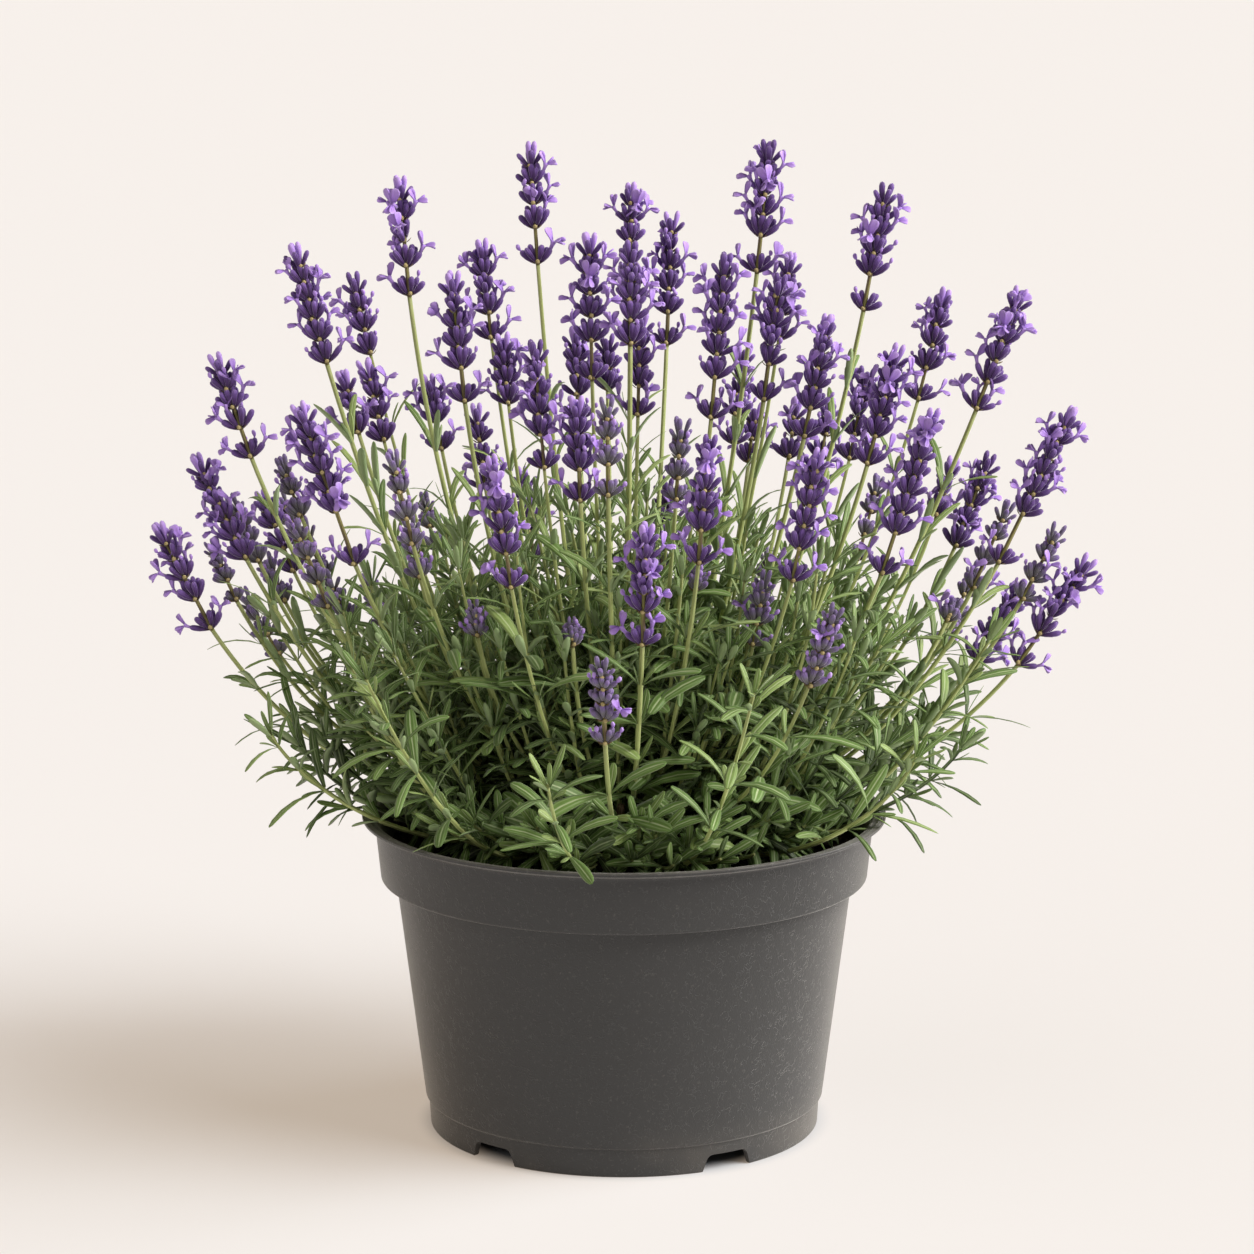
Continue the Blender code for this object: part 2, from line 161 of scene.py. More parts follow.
# Shoots that fill the clump: how many, how far out their tips are and how high, in mm, the
# tip's lean in degrees, the distance between leaf pairs in mm, and how broad the leaves are,
# from 0, a strap, to 1, a spoon.
FILLING = (
    (38, (80, 104), (136, 148), (52, 80), 12, 1.0),
    (28, (88, 102), (145, 158), (40, 66), 11, 0.9),
    (34, (112, 156), (158, 196), (26, 46), 14, 0.6),
    (32, (104, 142), (198, 246), (20, 36), 13, 0.35),
    (50, (58, 112), (172, 212), (14, 34), 14, 0.5),
    (40, (8, 66), (190, 232), (4, 22), 14, 0.4),
    (58, (30, 112), (204, 252), (6, 26), 12, 0.5),
    (48, (24, 128), (228, 285), (4, 18), 18, 0.2),
)
# Shoots below this height take less of the leaves' painted shade, so their leaves are paler.
SKIRT_HEIGHT = 160  # mm: lower shoots hang over the lip, and their leaves are paler
FRONT_LIMIT = 72  # mm: taller shoots stand no further forward than this, behind the front stalks
INNER_GROUPS = 8
POT_SIDES, SOIL_SIDES, WALL_SIDES = 288, 160, 64  # points round the pot, the mix and the backdrop
CRUMBS = 520
BRANCHES = 34
FLOOR_REACH = 28.0  # metres, from the pot to the edges of the studio paper

# The pattern sheet: every plant surface takes one square of a 4 x 4 sheet.
SHEET = 4
SHEET_INSET = 0.02
LEAF_TILES = 15
STEM_TILE = 15
CALYX_TILES = 8
PETAL_TILES = 8, 9, 10, 11
THROAT_TILE = 12
BRACT_TILE = 13
AXIS_TILE = 14
KNOT_TILE = 15


# Settings


class LavenderSizes(bpy.types.PropertyGroup):
    """Sizes of the plant's small parts."""

    leaf_length: FloatProperty(
        name="Leaf length", description="Length of a full leaf", default=30 * MM, unit="LENGTH")
    leaf_width: FloatProperty(
        name="Leaf width", description="Width of a full leaf", default=6.6 * MM, unit="LENGTH")
    calyx_length: FloatProperty(
        name="Calyx length", description="Length of a flower's calyx", default=8.5 * MM,
        unit="LENGTH")
    calyx_width: FloatProperty(
        name="Calyx width", description="Widest part of a calyx", default=2.8 * MM, unit="LENGTH")
    stem_width: FloatProperty(
        name="Stem width", description="A flower stem across its ridges", default=2.15 * MM,
        unit="LENGTH")


def linear(colour):
    """An sRGB hex colour as linear red, green, blue and alpha."""
    parts = [int(colour[i:i + 2], 16) / 255 for i in (0, 2, 4)]
    return (*[p / 12.92 if p <= 0.04045 else ((p + 0.055) / 1.055) ** 2.4 for p in parts], 1.0)


class LavenderColours(bpy.types.PropertyGroup):
    """Colours that a user would change."""

    pot: FloatVectorProperty(
        name="Pot", description="Moulded plastic", size=4, subtype="COLOR",
        default=linear("373737"))
    calyx: FloatVectorProperty(
        name="Calyx", description="Felted violet of the calyces", size=4, subtype="COLOR",
        default=linear("583A77"))
    petal: FloatVectorProperty(
        name="Petal", description="Lilac of the open flowers", size=4, subtype="COLOR",
        default=linear("B592E2"))
    leaf: FloatVectorProperty(
        name="Leaf", description="Grey-green of the leaves", size=4, subtype="COLOR",
        default=linear("759A47"))
    stem: FloatVectorProperty(
        name="Stem", description="Yellow-green of the flower stems", size=4, subtype="COLOR",
        default=linear("BCC87E"))


def sizes():
    return bpy.context.scene.lavender_sizes


def colours():
    return bpy.context.scene.lavender_colours


# Directions


def unit(vectors):
    return vectors / np.linalg.norm(vectors, axis=-1, keepdims=True)


def dot(a, b):
    return np.sum(a * b, axis=-1, keepdims=True)


def square_to(direction, towards):
    """The unit direction at right angles to one direction that lies nearest another."""
    return unit(towards - direction * dot(direction, towards))


def column(values):
    return np.asarray(values, float).reshape(-1, 1)


def swung(a, b, angle):
    """Two directions at right angles, both turned by an angle from the first to the second."""
    return np.cos(angle) * a + np.sin(angle) * b, np.cos(angle) * b - np.sin(angle) * a


def around(angle):
    """Level directions at angles from +X."""
    return np.stack([np.cos(angle), np.sin(angle), np.zeros_like(angle)], axis=-1)


def link(name, data):
    """An object that shows the data, in the scene."""
    obj = bpy.data.objects.new(name, data)
    bpy.context.scene.collection.objects.link(obj)
    return obj


# Shapes. A shape is (points, corners, sides of each face, pattern places, finish of each face).


def skin(rings, start, end, tiles, finish, along=None):
    """Closed skins: K of them, each R rings of C points with a fan of triangles on each end.

    Ring r's point c joins ring r+1's point c and its own point c+1. The pattern's first
    coordinate runs along the rings and its second round them, inside the skin's own tile.
    """
    many, rows, cols = rings.shape[:3]
    count = rows * cols
    points = np.concatenate([rings.reshape(many, count, 3), start[:, None], end[:, None]], axis=1)
    if along is None:
        along = np.linspace(0.0, 1.0, rows + 2)

    def faces(*corners):
        """Each corner's point, place along and place round, for every face of one kind."""
        table = np.stack(np.broadcast_arrays(*sum(corners, ())), axis=-1)
        return table.reshape(-1, 3), np.full(table[..., 0].size, len(corners))

    row, col = np.arange(rows - 1)[:, None], np.arange(cols)
    after, here = (col + 1) % cols, row * cols
    kinds = (
        faces((here + col, along[row + 1], col), (here + after, along[row + 1], col + 1),
              (here + cols + after, along[row + 2], col + 1), (here + cols + col, along[row + 2], col)),
        faces((after, along[1], col + 1), (col, along[1], col), (count, along[0], col + 0.5)),
        faces((count - cols + col, along[-2], col), (count - cols + after, along[-2], col + 1),
              (count + 1, along[-1], col + 0.5)))
    table, sides = (np.concatenate(part) for part in zip(*kinds))
    corners = table[:, 0].astype(np.int64) + np.arange(many)[:, None] * (count + 2)
    places = SHEET_INSET + table[:, 1:] / (1, cols) * (1 - 2 * SHEET_INSET)
    tiles = np.broadcast_to(tiles, (many,))
    places = (places + np.stack([tiles % SHEET, tiles // SHEET], axis=1)[:, None]) / SHEET
    return (points.reshape(-1, 3), corners.ravel(), np.tile(sides, many), places.reshape(-1, 2),
            np.full(len(sides) * many, finish))


def solid(rings, start, end, tile=0):
    """One closed skin that shows a piece's first finish."""
    return skin(rings[None], start[None], end[None], tile, 0)


def build(name, shapes, finishes):
    """One mesh object from shapes, smooth, with the pattern places as its map."""
    shapes = [shape for shape in shapes if len(shape[0])]
    if not shapes:
        raise RuntimeError(f"{name} has no shapes")
    starts = np.cumsum([0] + [len(shape[0]) for shape in shapes[:-1]])
    shapes = [(points, corners + at, *rest) for at, (points, corners, *rest) in zip(starts, shapes)]
    points, corners, sides, places, finish = (np.concatenate(part) for part in zip(*shapes))
    mesh = bpy.data.meshes.new(name)
    mesh.vertices.add(len(points))
    mesh.loops.add(len(corners))
    mesh.polygons.add(len(sides))
    mesh.vertices.foreach_set("co", points.astype(np.float32).ravel())
    mesh.loops.foreach_set("vertex_index", corners.astype(np.int32))
    mesh.polygons.foreach_set("loop_start", (np.cumsum(sides) - sides).astype(np.int32))
    mesh.polygons.foreach_set("material_index", finish.astype(np.int32))
    mesh.polygons.foreach_set("use_smooth", np.ones(len(sides), bool))
    for material in finishes:
        mesh.materials.append(material)
    mesh.uv_layers.new(name="OFBake").data.foreach_set("uv", places.astype(np.float32).ravel())
    mesh.update(calc_edges=True)
    mesh.validate()
    return link(name, mesh)


def place_on_arc(origin, axis, face, length, droop, share):
    """The point, the face and the direction a share of the way along an arc that turns from
    its axis.

    An arc of length L that turns through an angle a away from its face stands, after a share
    s, at L (sin(as)/a) along the axis and L ((1 - cos(as))/a) behind the face.
    """
    turn = droop * share
    ahead = share * np.sinc(turn / np.pi)
    behind = 0.5 * turn * share * np.sinc(turn / (2 * np.pi)) ** 2
    return (origin + length * (ahead * axis - behind * face), *swung(face, axis, turn))


def arcs(origin, axis, face, length, width, droop, profile, section, tiles, finish, twist=0.0):
    """K bodies along arcs: leaves, petals, bracts, calyces and buds.

    At each share s of the length the section is scaled by the profile's half width there and
    stands square to the arc, its second coordinate towards the face.
    """
    length, width, droop, twist = (
        np.broadcast_to(column(v), (len(origin), 1)) for v in (length, width, droop, twist))
    across = np.cross(face, axis)
    profile = np.asarray(profile, float)
    rings = []
    for share, *halves in profile:
        point, normal, _ = place_on_arc(origin, axis, face, length, droop, share)
        side, lift = swung(across, normal, twist * share)
        half = 0.5 * width * column(halves)
        rings.append(point[:, None] + half[:, None] * (
            section[:, :1] * side[:, None] + section[:, 1:] * lift[:, None]))
    end = place_on_arc(origin, axis, face, length, droop, 1.0)[0]
    along = np.concatenate([[0.0], profile[:, 0], [1.0]])
    return skin(np.stack(rings, axis=1), origin, end, tiles, finish, along)


def round_section(sides):
    turn = np.arange(sides) * 2 * np.pi / sides
    return np.stack([np.cos(turn), np.sin(turn)], axis=1)


def ridged_section():
    """A square stem: eight points, the four at the ridges standing out past the four between."""
    return round_section(8) * np.where(np.arange(8) % 2, 0.707, 1.0)[:, None]


def beside(path, ahead):
    """The directions to the side of a path that lies in one upright plane, and square to both."""
    flat = path[-1, :2] - path[0, :2]
    if np.hypot(*flat) < 1e-6:
        flat = np.array([1.0, 0.0])
    side = square_to(ahead, unit(np.array([flat[1], -flat[0], 0.0])))
    return side, np.cross(ahead, side)


def tube(path, radii, section, tile, finish):
    """A section carried along a path that lies in one upright plane, square to the path."""
    ahead = unit(np.gradient(path, axis=0))
    side, lift = beside(path, ahead)
    rings = path[:, None] + radii[:, None, None] * (
        section[:, :1] * side[:, None] + section[:, 1:] * lift[:, None])
    start = path[:1] - ahead[:1] * radii[0] * 0.1
    end = path[-1:] + ahead[-1:] * radii[-1] * 0.3
    return skin(rings[None], start, end, tile, finish)


# Growth


def crown_top(radius):
    """The crown is a squat dome; this is its height above its foot at a radius."""
    share = min(radius / CROWN_RADIUS, 1.0)
    return CROWN_HEIGHT * math.sqrt(1.0 - 0.9 * share * share)


def grown_path(start_share, start_height, tip, lean, count=60):
    """A cubic curve from the crown to the tip, in the upright plane through both.

    Its guides are given as shares of the way out and of the rise. A stem that leans far runs
    outward before it rises, and the last guide gives the tip its lean from upright.
    """
    rise = tip[2] - start_height
    slope = math.hypot(tip[0], tip[1]) / rise
    bend = max(-0.6, min(1.0, slope - 0.4))
    straightening = 1.0 - (1.0 - LAST_GUIDE_UP) * math.tan(math.radians(lean)) / slope
    guides = np.array([
        (start_share, 0.0),
        (0.42 + 0.18 * bend, 0.05 - 0.04 * bend),
        (straightening, LAST_GUIDE_UP),
        (1.0, 1.0),
    ])
    t = np.linspace(0.0, 1.0, count + 1)[:, None]
    weights = np.concatenate(
        [(1 - t) ** 3, 3 * (1 - t) ** 2 * t, 3 * (1 - t) * t ** 2, t ** 3], axis=1)
    out, up = (weights @ guides).T
    return np.stack([tip[0] * out, tip[1] * out, start_height + rise * up], axis=1)


def lengths_along(path):
    """The distance along a path at each of its points."""
    steps = np.linalg.norm(np.diff(path, axis=0), axis=1)
    return np.concatenate([[0.0], np.cumsum(steps)])


def walk(path, distances):
    """Points and directions at distances along a path."""
    lengths = lengths_along(path)
    place = np.clip(distances, 0.0, lengths[-1])
    points, ahead = (np.stack([np.interp(place, lengths, values[:, i]) for i in range(3)], axis=1)
                     for values in (path, np.gradient(path, axis=0)))
    return points, unit(ahead)


def stalk_path(plan):
    tip = np.array(plan[:3]) * MM
    start_radius = BASE_SPREAD * math.hypot(tip[0], tip[1])
    start_height = SOIL_TOP + GAP + min(crown_top(start_radius), CROWN_HEIGHT) + STALK_RADIUS
    return grown_path(BASE_SPREAD, start_height, tip, plan[3])


def bloom_length(plan):
    return (plan[4] + plan[5] + (not plan[5])) * MM


# Leaves


LEAF_SECTION = np.array([
    (1.0, -0.10), (0.52, 0.10), (0.0, -0.03), (-0.52, 0.10), (-1.0, -0.10), (0.0, -0.17)])
SPOON_SHARES = np.array([0.03, 0.22, 0.46, 0.68, 0.86, 0.965])
SPOON_HALVES = np.array([0.26, 0.48, 0.82, 1.0, 0.88, 0.52])
STRAP_HALVES = np.array([0.40, 0.78, 0.96, 1.0, 0.84, 0.46])


def clear_of_pot(origin, axis, face, length, droop):
    """True for the leaves that pass over the lip, or stay inside it, and hang little below."""
    clear = np.ones(len(origin), bool)
    for share in (0.4, 0.6, 0.8, 1.0):
        point = place_on_arc(origin, axis, face, column(length), column(droop), share)[0]
        reach = np.hypot(point[:, 0], point[:, 1])
        outside = reach >= LIP_RADIUS + 4 * MM
        at_wall = (reach > BODY_TOP_RADIUS - 3.4 * MM) & ~outside
        clear &= ~(at_wall & (point[:, 2] < POT_HEIGHT + 2 * MM))
        low = POT_HEIGHT - np.where(point[:, 1] < -50 * MM, 2, 14) * MM
        clear &= ~(outside & (point[:, 2] < low))
    return clear


def leaves(origin, ahead, out, spread, length, width, droop, broad, tiles, rng, upturn=0.5):
    """Leaves that leave a stem at a spread, arch over and show their upper faces to the sky."""
    axis, outer = (unit(turned) for turned in swung(ahead, out, column(spread)))
    face = square_to(axis, UP * upturn - outer * (1 - upturn) + 1e-4 * ahead)
    origin = origin + out * 0.7 * MM
    kept = clear_of_pot(origin, axis, face, length, droop)
    twist = rng.normal(0.0, 0.30, len(kept))
    origin, axis, face, length, width, droop, broad, tiles, twist = (
        values[kept] for values in (origin, axis, face, length, width, droop, broad, tiles, twist))
    halves = SPOON_HALVES[:, None] * broad + STRAP_HALVES[:, None] * (1 - broad)
    profile = np.column_stack([SPOON_SHARES, halves])
    return arcs(origin, axis, face, length, width, droop, profile, LEAF_SECTION, tiles, 0, twist)


def leaf_tiles(ages_and_shade, wander, count, rng):
    """A tile for each leaf, from 0, old and darkest with painted shade, to the last, young and pale."""
    return (np.clip(ages_and_shade + rng.normal(0, wander, count), 0, 0.999) * LEAF_TILES).astype(int)


def leafy(path, places, vigour, rng, ages_and_shade, broad, spread=46.0, swing=0.785):
    """Opposite leaf pairs that turn a swing to and fro about the stem, with small leaves between.

    places are distances along the stem, vigour is each pair's size as a share of a full leaf.
    """
    s = sizes()
    points, ahead = walk(path, places)
    side, lift = beside(path, ahead)
    count = len(places)
    turn = np.where(np.arange(count) % 2, swing, -swing) + rng.uniform(-0.25, 0.25, count)
    shapes = []
    for half in (0, 1):
        angle = column(turn + half * np.pi + rng.normal(0, 0.10, count))
        size = vigour * rng.uniform(0.86, 1.12, count)
        tiles = leaf_tiles(ages_and_shade, 0.16, count, rng)
        full = np.clip(broad + rng.normal(0, 0.12, count), 0, 1)
        shapes.append(leaves(
            points, ahead, swung(side, lift, angle)[0], np.radians(spread + rng.normal(0, 7, count)),
            s.leaf_length * size, s.leaf_width * (0.4 + 0.6 * size) * (0.42 + 0.62 * full),
            np.radians(rng.uniform(22, 66, count)), full, tiles, rng))
        angle = angle + column(rng.uniform(-0.9, 0.9, count))
        size = vigour * rng.uniform(0.30, 0.52, count)
        tiles = leaf_tiles(ages_and_shade + 0.2, 0.16, count, rng)
        shapes.append(leaves(
            points, ahead, swung(side, lift, angle)[0], np.radians(rng.uniform(14, 34, count)),
            s.leaf_length * size, s.leaf_width * rng.uniform(0.3, 0.4, count) * (1 + 0.7 * full),
            np.radians(rng.uniform(-12, 40, count)), np.full(count, 0.6), tiles, rng, upturn=0.15))
    return shapes


def tuft(path, rng, ages_and_shade, broad, count=6):
    """The young leaves that stand close together at a shoot's tip."""
    s = sizes()
    points, ahead = walk(path, np.full(count, np.inf))
    points = points - ahead * column(rng.uniform(0, 3, count)) * MM
    side = square_to(ahead, np.array([0.3, 1.0, 0.2]))
    angle = column(np.arange(count) * 2.4 + rng.uniform(-0.3, 0.3, count))
    out = swung(side, np.cross(ahead, side), angle)[0]
    order = np.arange(count) / count
    tiles = leaf_tiles(ages_and_shade, 0.12, count, rng)
    return [leaves(
        points, ahead, out, np.radians(12 + 30 * order + rng.normal(0, 4, count)),
        s.leaf_length * 0.62 * (0.6 + 0.5 * order),
        s.leaf_width * (0.24 + 0.26 * broad) * (1.0 + 0.4 * order),
        np.radians(rng.uniform(-10, 25, count)), np.full(count, 0.5 * broad), tiles, rng, upturn=0.1)]


# Blooms


CALYX_PROFILE = ((0.04, 0.44), (0.22, 0.70), (0.50, 0.96), (0.76, 1.0), (0.90, 0.84), (0.975, 0.48))
BUD_PROFILE = ((0.06, 0.34), (0.30, 0.36), (0.48, 0.80), (0.70, 1.0), (0.88, 0.78), (0.97, 0.40))
TUBE_PROFILE = ((0.05, 0.72), (0.55, 0.84), (0.92, 1.30))
LOBE_PROFILE = ((0.05, 0.52), (0.30, 0.70), (0.58, 1.0), (0.82, 0.98), (0.95, 0.62))
TONGUE_PROFILE = ((0.04, 0.42), (0.35, 0.60), (0.62, 0.92), (0.82, 1.0), (0.95, 0.66))
BRACT_PROFILE = ((0.05, 0.60), (0.40, 1.0), (0.75, 0.72))
KNOT_PROFILE = ((0.10, 0.66), (0.35, 1.0), (0.65, 1.0), (0.90, 0.62))
ROUND = round_section(8)
LENS = np.array([(1.0, 0.0), (0.0, 0.16), (-1.0, 0.0), (0.0, -0.10)])
CUPPED = np.array([(1.0, 0.30), (0.5, 0.16), (-0.5, 0.16), (-1.0, 0.30), (-0.6, -0.20), (0.6, -0.20)])
# One whorl's calyces: turn about the spike from its right side and lean from it, in degrees,
# how far up the whorl each starts, in mm, and its length as a share of a full calyx. Two cymes
# stand to the sides, and the upright ones between them close the front and back.
WHORL = (
    (-8, 54, 0.0, 1.0), (26, 37, 0.6, 0.98), (-38, 31, 0.9, 0.92),
    (172, 54, 0.0, 1.0), (206, 37, 0.6, 0.98), (142, 31, 0.9, 0.92),
    (-96, 15, 2.0, 0.90), (84, 18, 1.8, 0.92), (118, 44, 0.5, 0.94),
    (-14, 27, 2.8, 0.84), (166, 27, 2.8, 0.84), (62, 44, 0.5, 0.92),
)
LOW_WHORL = (
    (-8, 58, 0.0, 1.0), (18, 36, 0.5, 0.94), (-32, 24, 0.9, 0.9),
    (172, 58, 0.0, 1.0), (198, 36, 0.5, 0.94), (148, 24, 0.9, 0.9), (90, 46, 0.4, 0.9),
)
# One flower's lobes: turn from the upper side, lean from the tube and fold towards the upper
# side in degrees, then length and width in mm. Two make the hood and three the lower lip.
LOBES = (
    (-30, 34, 50, 5.6, 3.5), (30, 34, -50, 5.6, 3.5), (180, 66, 0, 4.3, 3.2),
    (-146, 66, -54, 4.3, 2.7), (146, 66, 54, 4.3, 2.7),
)


def corollas(origin, axis, size, rng, roll=0.45):
    """Open flowers: a flaring tube with a hood of two lobes above and a lip of three below."""
    many = len(origin)
    size = column(size)
    up = square_to(axis, UP)
    up, side = swung(up, np.cross(axis, up), column(rng.normal(0, roll, many)))
    root = origin - axis * 1.2 * MM
    reach, bow = 4.2 * MM * size, np.full((many, 1), -0.25)
    shapes = [arcs(root, axis, up, reach, 1.9 * MM * size, bow, TUBE_PROFILE, round_section(6),
                   THROAT_TILE, 1)]
    mouth, _, ahead = place_on_arc(root, axis, up, reach, bow, 0.9)
    up = square_to(ahead, up)
    for angle, lean, fold, length, width in LOBES:
        angle = column(np.radians(angle + rng.normal(0, 5, many)))
        lean = column(np.radians(lean + rng.normal(0, 7, many)))
        out = swung(up, side, angle)[0]
        lobe_axis, outer = swung(ahead, out, lean)
        face = swung(-outer, np.cross(outer, lobe_axis), math.radians(fold))[0]
        shapes.append(arcs(
            mouth + out * 0.7 * MM * size, lobe_axis, face, length * MM * size,
            width * MM * size, rng.uniform(-0.1, 0.6, many), LOBE_PROFILE, CUPPED,
            rng.choice(PETAL_TILES, many), 1))
    return shapes


def flowering(floors, low, facing, scale, fullness, calyx_finish, rng):
    """The calyces of every whorl, with the flowers and buds that stand in some of them."""
    s = sizes()
    whorls = len(floors) - 1
    rows = []  # height, turn, lean, size, whorl
    for whorl in range(whorls):
        first = rng.normal(0, 7) + (90 if whorl % 2 and rng.random() < 0.25 else 0)
        size = scale * (1.06 - 0.24 * whorl / whorls)
        rows += [(floors[whorl] + start * MM, turn + first, lean, size * share, whorl)
                 for turn, lean, start, share in WHORL if rng.random() < 0.5 + 0.45 * fullness]
    if low:
        rows += [(0.8 * MM + start * MM, turn, lean, share * scale, -1)
                 for turn, lean, start, share in LOW_WHORL]
    count = len(rows)
    heights, turns, leans, shares, whorl = np.array(rows).T
    turn = np.radians(turns + rng.normal(0, 5, count))
    lean = np.radians(leans + rng.normal(0, 4, count))
    out = around(turn)
    direction, outer = swung(UP, out, column(lean))
    base = out * 0.8 * MM + UP * column(heights)
    length = s.calyx_length * shares * rng.uniform(0.92, 1.06, count)
    width = s.calyx_width * (0.5 + 0.5 * shares) * rng.uniform(0.92, 1.08, count)
    curl = -np.radians(rng.uniform(10, 26, count))
    shapes = [arcs(base, direction, -outer, length, width, curl, CALYX_PROFILE, ROUND,
                   rng.integers(0, CALYX_TILES, count), calyx_finish)]
    # Open flowers stand in the outer calyces, mostly to the two sides.
    sideways = np.abs(np.cos(turn))
    chance = np.select([leans > 50, leans > 34], [0.56, 0.18], 0.03)
    chance = chance * (0.25 + 0.75 * sideways) * fullness * np.where(whorl < 0, 1.35, 1.0)
    opened = rng.random(count) < chance * (0.12 if facing < 0 else 1.0)
    tip, _, ahead = place_on_arc(base, direction, -outer, column(length), column(curl), 1.0)
    shapes += corollas(tip[opened], ahead[opened], rng.uniform(0.92, 1.16, opened.sum()), rng)
    if facing > 0:
        spots = rng.choice(floors[:-1], facing) + rng.uniform(5, 7) * MM
        push = around(-math.pi / 2 + rng.normal(0, 0.35, facing))
        shapes += corollas(push * 4.6 * MM + UP * column(spots), unit(push + UP * 0.35),
                           np.full(facing, 1.2), rng, 0.2)
    budding = ~opened & (rng.random(count) < (0.06 + 0.22 * sideways) * (leans > 24))
    buds = budding.sum()
    shapes.append(arcs(
        (tip - ahead * 0.9 * MM)[budding], ahead[budding], -outer[budding],
        rng.uniform(3.0, 4.2, buds) * MM, rng.uniform(1.8, 2.4, buds) * MM, -0.2, BUD_PROFILE,
        ROUND, rng.choice(PETAL_TILES[2:], buds), 1))
    return shapes


def bracts(levels, rng):
    """Four bracts under each whorl and the two small knots that show between its cymes."""
    many = len(levels)
    out = around(np.tile(np.arange(4) * math.pi / 2, many) + rng.normal(0, 0.15, 4 * many))
    under = np.tile([True, False], 2 * many)
    direction, outer = swung(UP, out, column(np.where(under, 1.12, 0.75)))
    scales = arcs(
        out * 0.8 * MM + UP * column(np.repeat(levels, 4) - 0.5 * MM), direction, -outer,
        np.where(under, 3.2, 2.0) * MM, np.where(under, 3.4, 1.8) * MM, -0.5, BRACT_PROFILE, LENS,
        BRACT_TILE, 2)
    out = around(np.tile([-math.pi / 2, math.pi / 2], many) + rng.normal(0, 0.25, 2 * many))
    knots = arcs(
        out * 1.5 * MM + UP * column(np.repeat(levels, 2) - 0.3 * MM), UP, out,
        rng.uniform(1.7, 2.2, 2 * many) * MM, 1.9 * MM, 0.0, KNOT_PROFILE, round_section(6),
        KNOT_TILE, 2)
    return [scales, knots]


def spike_tip(top, scale, young, calyx_finish, rng):
    """Upright tongues of lilac, with two dark calyces standing out and two close in."""
    s = sizes()
    tongues = 3 if rng.random() < 0.35 else 2
    spin = rng.normal(0, 0.35)
    angle = spin + np.concatenate([np.arange(tongues) * 2 / tongues, [0, 1, 0.5, 1.5]]) * math.pi
    tilt = np.concatenate([rng.uniform(9, 16, tongues), [44, 42, 24, 22]])
    tilt = np.radians(tilt + rng.normal(0, 3, len(tilt)))
    out = around(angle)
    direction, outer = swung(UP, out, column(tilt))
    base = out * 0.6 * MM + UP * (top - 0.2 * MM)
    lilac = np.arange(len(angle)) < tongues
    dark = range(CALYX_TILES), calyx_finish
    pale = (PETAL_TILES, 1) if rng.random() < 0.65 and not young else dark
    tongue, calyx = BLOOM_TIP * min(1.0, scale + 0.1), s.calyx_length * 0.98 * scale
    return [arcs(
        base[chosen], direction[chosen], -outer[chosen], reach * rng.uniform(0.92, 1.0, chosen.sum()),
        wide, -0.12, profile, ROUND * (1, 0.8), rng.choice(list(tiles), chosen.sum()), finish)
        for chosen, profile, (tiles, finish), reach, wide in (
            (lilac, TONGUE_PROFILE, pale, tongue, 3.2 * MM * scale),
            (~lilac, CALYX_PROFILE, dark, calyx, s.calyx_width * scale))]


def bloom(plan, foot, along, rng, fullness):
    """A spike: whorls of calyces up a square axis, with open flowers, buds, bracts and a tip.

    It is laid out about the upright axis, from its foot, and turned into place at the end.
    """
    main, low, facing = plan[4] * MM, plan[5] * MM, plan[6]
    young = facing < 0
    calyx_finish = 3 if young else 0
    scale = (0.66 if main < 25 * MM else 0.85) if young else 1.0
    whorls = max(2, round((main - BLOOM_TIP) / WHORL_PITCH))
    steps = np.linspace(1.16, 0.84, whorls)
    rises = np.concatenate([[0.0], np.cumsum(steps)]) / steps.sum()
    floors = (low or 1.0 * MM) + rises * (main - BLOOM_TIP)
    shapes = (flowering(floors, low, facing, scale, fullness, calyx_finish, rng)
              + bracts(np.append(floors, 0.8 * MM) if low else floors, rng)
              + spike_tip(floors[-1], scale, young, calyx_finish, rng))
    side = square_to(along, np.array([1.0, 0.0, 0.0]))
    turn_in = np.stack([side, np.cross(along, side), along])  # rows: the spike's x, y and z
    shapes = [(foot + points @ turn_in, *rest) for points, *rest in shapes]
    axis = foot + along * np.linspace(-0.2 * MM, floors[-1], 12)[:, None]
    return shapes + [tube(axis, np.linspace(1.0, 0.7, 12) * MM, ridged_section(), AXIS_TILE, 2)]


def flower_stalk(plan, index):
    """The stem with its leaf pairs, and the bloom that stands on it."""
    rng = np.random.default_rng(900 + index)
    path = stalk_path(plan)
    stem = lengths_along(path)[-1] - bloom_length(plan)
    radius = 0.5 * sizes().stem_width * np.linspace(1.06, 0.90, 26)
    shapes = [tube(walk(path, np.linspace(0.0, stem, 26))[0], radius, ridged_section(), STEM_TILE, 1)]
    forward = plan[1] < -40
    bare = rng.uniform(*((14, 30) if forward or abs(plan[0]) > 110 else (34, 58))) * MM
    places = [rng.uniform(8, 20) * MM]
    while places[-1] < stem - bare:
        places.append(places[-1] + rng.uniform(20, 26) * MM)
    places = np.array(places[:-1])
    nodes = walk(path, places)[0]
    high = np.clip((nodes[:, 2] - (205 if forward else 165) * MM) / (90 * MM), 0, 1)
    aside = np.clip((np.abs(nodes[:, 0]) - 70 * MM) / (45 * MM), 0, 1)
    # Leaf tiles grow paler up the stalk: younger leaves, with less painted shade than low in the clump.
    shapes += leafy(path, places, 1.12 - 0.2 * high, rng, 0.42 + 0.3 * high,
                    0.9 - 0.8 * np.maximum(high, aside), 46.0 - 20.0 * high, 0.5)
    foot = walk(path, [stem])[0][0]
    along = unit(np.array(plan[:3]) * MM - foot)
    behind = plan[1] > 85 and plan[2] < 345
    return shapes, bloom(plan, foot, along, rng, 0.8 if behind else 1.0)


# Materials


USUAL = {"Mix": {"data_type": "RGBA"}, "MapRange": {"interpolation_type": "SMOOTHSTEP"}}


